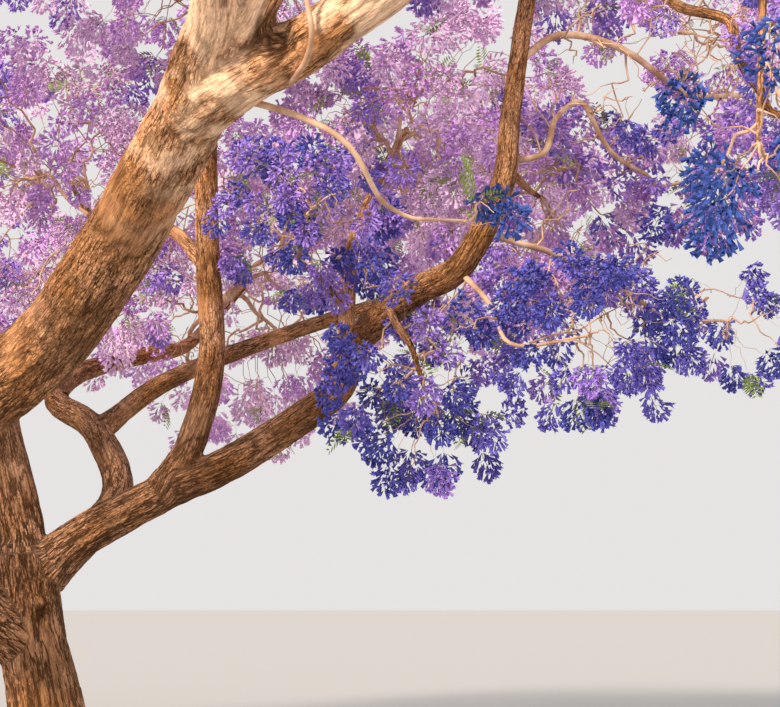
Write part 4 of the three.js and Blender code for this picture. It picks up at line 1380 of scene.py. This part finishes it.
# %% [markdown]
# A jacaranda flower is a nodding trumpet, about six centimetres long: a slim tube that widens to
# a throat with spreading lobes. At this distance eight triangles give it: four for the tube and
# four for the lobes. Most of the flowers in a bunch haven't spread their lobes, or are seen from
# the side, and for those a plain three-sided tube will do. Both are set out once, looking along Z
# with the stalk at the origin.

# %% Two flowers
FLOWER_LENGTH = 0.06
THROAT = 0.0115
LOBE_REACH = 0.023
THROAT_AT = 0.7  # as a share of the flower's length
MOUTH_AT = 0.95
MOUTH = 1.25 * THROAT
SIDES = 4
CLOSED_SIDES = 3


def ring(sides, radius, height, turned=0.0):
    turn = turned + np.arange(sides) * 2 * math.pi / sides
    return np.stack([np.cos(turn) * radius, np.sin(turn) * radius, np.full(sides, height)], 1)


def tube_faces(sides):
    return [(0, 1 + k, 1 + (k + 1) % sides) for k in range(sides)]


throat = ring(SIDES, THROAT, THROAT_AT * FLOWER_LENGTH)
lobes = ring(SIDES, LOBE_REACH, FLOWER_LENGTH, math.pi / SIDES)
lobe_faces = [(1 + k, 1 + SIDES + k, 1 + (k + 1) % SIDES) for k in range(SIDES)]
open_flower = (np.vstack([[0, 0, 0], throat, lobes]), np.array(tube_faces(SIDES) + lobe_faces))
mouth = ring(CLOSED_SIDES, MOUTH, MOUTH_AT * FLOWER_LENGTH)
closed_flower = (np.vstack([[0, 0, 0], mouth]), np.array(tube_faces(CLOSED_SIDES)))
print("the flowers have", len(open_flower[1]), "and", len(closed_flower[1]), "triangles")

# %% [markdown]
# The flowers sit in bunches at the shoots' ends, as long as a forearm and nearly as wide, so full
# that each bunch reads as one soft lump with gaps between it and the next. A bunch is egg-shaped.
# Its flowers sit all along its stalk, each a golden turn on from the last, most of them in the
# outer part, and nod outwards and down. Bunches differ in size and in how far they hang over, and
# the blue ones near the picture's middle are fuller than the pale ones at the back. None is
# longer than its spray allows, or reaches far past the solids' box. The pale ones have fewer
# flowers, each a little larger than life, which keeps the count down where the crown is deepest.

# %% Bunches of flowers
bunch_random = np.random.default_rng(23)
FLOWER_PLACES = 84  # the most flowers that a bunch can have
BUNCH_LENGTH = 0.25
BUNCH_GIRTH = 0.12
BUNCH_SHARE = 0.75  # the most of its spray's length that a bunch takes
BUNCH_SIZES = (0.6, 1.25)
BUNCH_GIRTHS = (0.8, 1.15)
DROOPS = (-1.1, 0.2)  # how far down, or up, a bunch hangs from its shoot's way
SHARE_STRAY = 0.03  # along the bunch, as a share of its length
INNERMOST = 0.08  # the square of how near to the stalk a flower may sit
FACING_STRAY = 0.28
BUNCH_FULLNESSES = (0.85, 1.1)
FLOWER_SIZES = (0.85, 1.2)
FULLNESS = (1.0, 0.66)  # of a blue bunch, and of a pale one
GROWTH = (1.0, 1.24)  # the flowers' size in a blue bunch, and in a pale one
OPEN_EVERY = 3
PAST_THE_BOX = 0.05
SHORTEST_BUNCH = 0.3
LEVEL = 0.05  # a way that leans less than this counts as level

bunch_places = np.concatenate([first_places, second_places, side_places])
bunch_ways = np.concatenate([first_ways, second_ways, side_ways])
bunch_mass, spray_length = (
    np.concatenate([first_sprays[key][first_owners], second_sprays[key][second_owners], of_side])
    for key, of_side in (("mass", side_masses), ("length", side_lengths))
)
count = len(bunch_places)
size = bunch_random.uniform(*BUNCH_SIZES, count)
girth = bunch_random.uniform(*BUNCH_GIRTHS, count)
size = np.minimum(size, BUNCH_SHARE * spray_length / BUNCH_LENGTH)
droop = bunch_random.uniform(*DROOPS, count)
hang = unit(bunch_ways * 0.9 + np.stack([np.zeros(count), np.zeros(count), droop], axis=1))
low_corner, high_corner = np.array(cad_box[0]), np.array(cad_box[1])
room = np.where(hang > 0, high_corner - bunch_places, bunch_places - low_corner) + PAST_THE_BOX
room = (room / np.maximum(np.abs(hang), LEVEL)).min(axis=1)
size = np.minimum(size, np.maximum(room / BUNCH_LENGTH, SHORTEST_BUNCH))
bunch_length = BUNCH_LENGTH * size
bunch_phase = bunch_random.uniform(0, 2 * math.pi, count)

flower_share = (np.arange(FLOWER_PLACES) + 0.5) / FLOWER_PLACES
flower_turn = (bunch_phase[:, None] + np.arange(FLOWER_PLACES) * GOLDEN_TURN)[..., None]
side, across = squares(hang)
spoke = side[:, None] * np.cos(flower_turn) + across[:, None] * np.sin(flower_turn)
along = flower_share + bunch_random.uniform(-SHARE_STRAY, SHARE_STRAY, (count, FLOWER_PLACES))
along = np.clip(along, 0, 1)
egg = np.sin(math.pi * along**0.75) ** 0.6
stray = np.sqrt(bunch_random.uniform(INNERMOST, 1.0, (count, FLOWER_PLACES)))
out = BUNCH_GIRTH * egg * stray * (girth * size)[:, None]
seat = (
    bunch_places[:, None]
    + hang[:, None] * (along * bunch_length[:, None])[..., None]
    + spoke * out[..., None]
)
jitter = bunch_random.normal(0, FACING_STRAY, (count, FLOWER_PLACES, 3))
facing_way = unit(spoke * 0.75 + hang[:, None] * 0.3 + jitter + (0, 0, -0.5))
sunlit_pinkness = np.array([mass.sunlit_pinkness for mass in MASSES.values()])[bunch_mass]
fullness = mix(*FULLNESS, sunlit_pinkness) * size * bunch_random.uniform(*BUNCH_FULLNESSES, count)
present = bunch_random.uniform(size=(count, FLOWER_PLACES)) < fullness[:, None]
spread = np.arange(FLOWER_PLACES) % OPEN_EVERY == 0
flower_size = bunch_random.uniform(*FLOWER_SIZES, (count, FLOWER_PLACES))
flower_size = flower_size * mix(*GROWTH, sunlit_pinkness)[:, None]
print(count, "bunches with", int(present.sum()), "flowers")

# %% [markdown]
# The blossom isn't one colour. Flowers near the picture's middle are a deep blue violet, which is
# painted shade, and towards the top and the back they pale to lilac and pink, which is painted
# sunlight. The colours are dealt out by spray: each mass has its own share of pink, which paints
# how much sun it gets, and chance moves a spray up or down from it, and a bunch a little more, as
# tone that differs at random. There is one plain material for each tone. A tone with many flowers
# is made in several pieces.

# %% Tones of blossom
MOST_FLOWERS = 32000
# The tones run from painted shade, deep blue, to painted sunlight, pink lilac.
TONES = {
    "deep_blue": (0.055, 0.105, 0.40),
    "deep_blue_violet": (0.125, 0.13, 0.55),
    "blue_violet": (0.225, 0.185, 0.68),
    "violet": (0.46, 0.295, 0.83),
    "lilac": (0.84, 0.51, 0.97),
    "pink_lilac": (1.0, 0.72, 1.0),
}
PETAL_ROUGHNESS = 0.6
PETAL_SHINE = 0.25
TONES_PER_PINKNESS = 5  # steps from tone to tone as the pinkness goes from 0 to 1
SPRAY_STRAYS = 0.17
BUNCH_STRAYS = 0.11
FARTHEST_STRAY = 0.28

second_start = len(first_sprays["root"])
side_start = second_start + len(second_sprays["root"])
side_numbers = side_start + np.arange(len(side_places))
spray_number = np.concatenate([first_owners, second_start + second_owners, side_numbers])
strays = bunch_random.normal(0, SPRAY_STRAYS, spray_number.max() + 1)[spray_number]
strays = strays + bunch_random.normal(0, BUNCH_STRAYS, count)
# Painted light and shade: the mass's share of pink sets the tone, and chance adds random tone.
tone_place = sunlit_pinkness + np.clip(strays, -FARTHEST_STRAY, FARTHEST_STRAY)
tone_place = np.where(sunlit_pinkness < 0, tone_place, np.maximum(tone_place, 0))
tone_number = np.floor(tone_place * TONES_PER_PINKNESS).astype(int) + 1
tone_number = np.clip(tone_number, 0, len(TONES) - 1)


def placed_flowers(here, flower):
    """Corners and faces of one kind of flower at all the places where `here` is true."""
    shape, shape_faces = flower
    way = facing_way[here]
    left = square_to(way, bunch_random.uniform(0, 2 * math.pi, len(way)))
    up = np.cross(way, left)
    scaled = shape * flower_size[here][:, None, None]
    corners = (
        seat[here][:, None]
        + scaled[..., 0:1] * left[:, None]
        + scaled[..., 1:2] * up[:, None]
        + scaled[..., 2:3] * way[:, None]
    )
    starts = np.arange(len(way))[:, None, None] * len(shape)
    return corners.reshape(-1, 3), (shape_faces + starts).reshape(-1, 3)


replaced = MASSES  # the first blossom stands in for all the masses
for number, (tone_name, colour) in enumerate(TONES.items()):
    petal = Paint(tone_name + "_petal", colour, PETAL_ROUGHNESS, PETAL_SHINE).material
    bunches = np.flatnonzero(tone_number == number)
    shares = math.ceil(present[bunches].sum() / MOST_FLOWERS)
    for part, chosen in enumerate(np.array_split(bunches, shares)):
        here = present & np.isin(np.arange(count), chosen)[:, None]
        open_ones = placed_flowers(here & spread, open_flower)
        closed_ones = placed_flowers(here & ~spread, closed_flower)
        name = f"{tone_name}_blossom_{part + 1}"
        blossom = mesh_object(name, *joined([open_ones, closed_ones]), petal)
        dress(blossom, replaced)
        replaced = ()

# %% [markdown]
# The stalks inside the bunches are thin, but they show where the blossom is open: without them
# the flowers would float. They are brownish green.

# %% Flower stalks
STALK_GREEN = (0.20, 0.17, 0.09)
STALK_ROUGHNESS = 0.7
STALK_ENDS = (0, 0.97)  # the shares of the bunch's length that its stalk goes through
STALK_RADII = (0.0035, 0.0012)
SIDE_STALKS = 3
SIDE_STALK_RADII = (0.0018, 0.0012)
FIRST_STALK_PLACE = 8
STALK_LEAVES_BEFORE = 0.08

each = np.ones((count, 1))
stalk_ends = [bunch_places + hang * (bunch_length * share)[:, None] for share in STALK_ENDS]
stalk_parts = [tubes(np.stack(stalk_ends, axis=1), each * STALK_RADII, FEWEST_CORNERS)]
for k in range(SIDE_STALKS):
    place = FIRST_STALK_PLACE + k * (FLOWER_PLACES - 2 * FIRST_STALK_PLACE) // SIDE_STALKS
    foot_share = max(0, flower_share[place] - STALK_LEAVES_BEFORE)
    foot = bunch_places + hang * (bunch_length * foot_share)[:, None]
    side_stalks = np.stack([foot, seat[:, place]], 1)
    stalk_parts.append(tubes(side_stalks, each * SIDE_STALK_RADII, FEWEST_CORNERS))
stalk_skin = Paint("flower_stalk", STALK_GREEN, STALK_ROUGHNESS, HALF_SHINE).material
dress(mesh_object("flower_stalks", *joined(stalk_parts), stalk_skin))

# %% [markdown]
# A jacaranda blooms on almost bare twigs, with a few young leaves. A leaf is like a fern's: a
# midrib with pairs of slim leaflet rows. Each row is a long four-cornered blade here. Leaves
# stand in small tufts at some of the shoots' ends.

# %% Leaves
leaf_random = np.random.default_rng(37)
LEAF_LENGTH = 0.24
LEAF_PAIRS = 7
TUFT_SHARE = 0.2
LEAVES_IN_TUFT = 3
LEAF_GREEN = (0.29, 0.40, 0.06)
LEAF_ROUGHNESS = 0.55
MIDRIB = 0.004  # this and the next four are shares of the leaf's length
FIRST_PAIR_AT = 0.16
PAIRS_OVER = 0.8
LONGEST_ROW = 0.36
ROW_RISES = (0.02, 0.03)
LEAF_SIZES = (0.6, 1.1)
LEAF_TILT = 0.25
LEAF_SAG = 0.5


def leaf_blades():
    """Corners of one leaf's blades, with the midrib along X and the leaf lying in the XY plane."""
    blades = [[(0, 0, 0), (0.5, MIDRIB, 0), (1, 0, 0), (0.5, -MIDRIB, 0)]]
    for k in range(LEAF_PAIRS):
        x = FIRST_PAIR_AT + PAIRS_OVER * k / LEAF_PAIRS
        span = LONGEST_ROW * math.sin(math.pi * (0.28 + 0.62 * k / LEAF_PAIRS))
        for hand in (-1, 1):
            tip = (x + span * 0.42, hand * span, ROW_RISES[1])
            wide = (x + span * 0.30, hand * span * 0.45, ROW_RISES[0])
            narrow = (x + span * 0.08, hand * span * 0.55, ROW_RISES[0])
            blades.append([(x, 0, 0), wide, tip, narrow])
    return np.array(blades) * LEAF_LENGTH


tufted = np.flatnonzero(leaf_random.uniform(size=count) < TUFT_SHARE)
leaf_seat = np.repeat(bunch_places[tufted], LEAVES_IN_TUFT, axis=0)
twig_way = np.repeat(bunch_ways[tufted], LEAVES_IN_TUFT, axis=0)
turns = leaf_random.uniform(0, 2 * math.pi, len(leaf_seat))
leaf_way = unit(twig_way * 0.6 + square_to(twig_way, turns) + (0, 0, 0.1))
leaf_side = unit(np.cross(leaf_way, (0, 0, 1)) + leaf_random.normal(0, LEAF_TILT, leaf_way.shape))
leaf_up = unit(np.cross(leaf_side, leaf_way))
leaf_size = leaf_random.uniform(*LEAF_SIZES, len(leaf_seat))
blades = leaf_blades()[None] * leaf_size[:, None, None, None]
sag = -LEAF_SAG * blades[..., 0:1] ** 2 / LEAF_LENGTH
leaf_corners = (
    leaf_seat[:, None, None]
    + blades[..., 0:1] * leaf_way[:, None, None]
    + blades[..., 1:2] * leaf_side[:, None, None]
    + (blades[..., 2:3] + sag) * leaf_up[:, None, None]
)
leaf_faces = np.arange(leaf_corners.size // 3).reshape(-1, 4)
leaf_skin = Paint("young_leaf", LEAF_GREEN, LEAF_ROUGHNESS, HALF_SHINE).material
leaves = mesh_object("young_leaves", leaf_corners.reshape(-1, 3), leaf_faces, leaf_skin, False)
dress(leaves)
print(len(leaf_seat), "leaves")
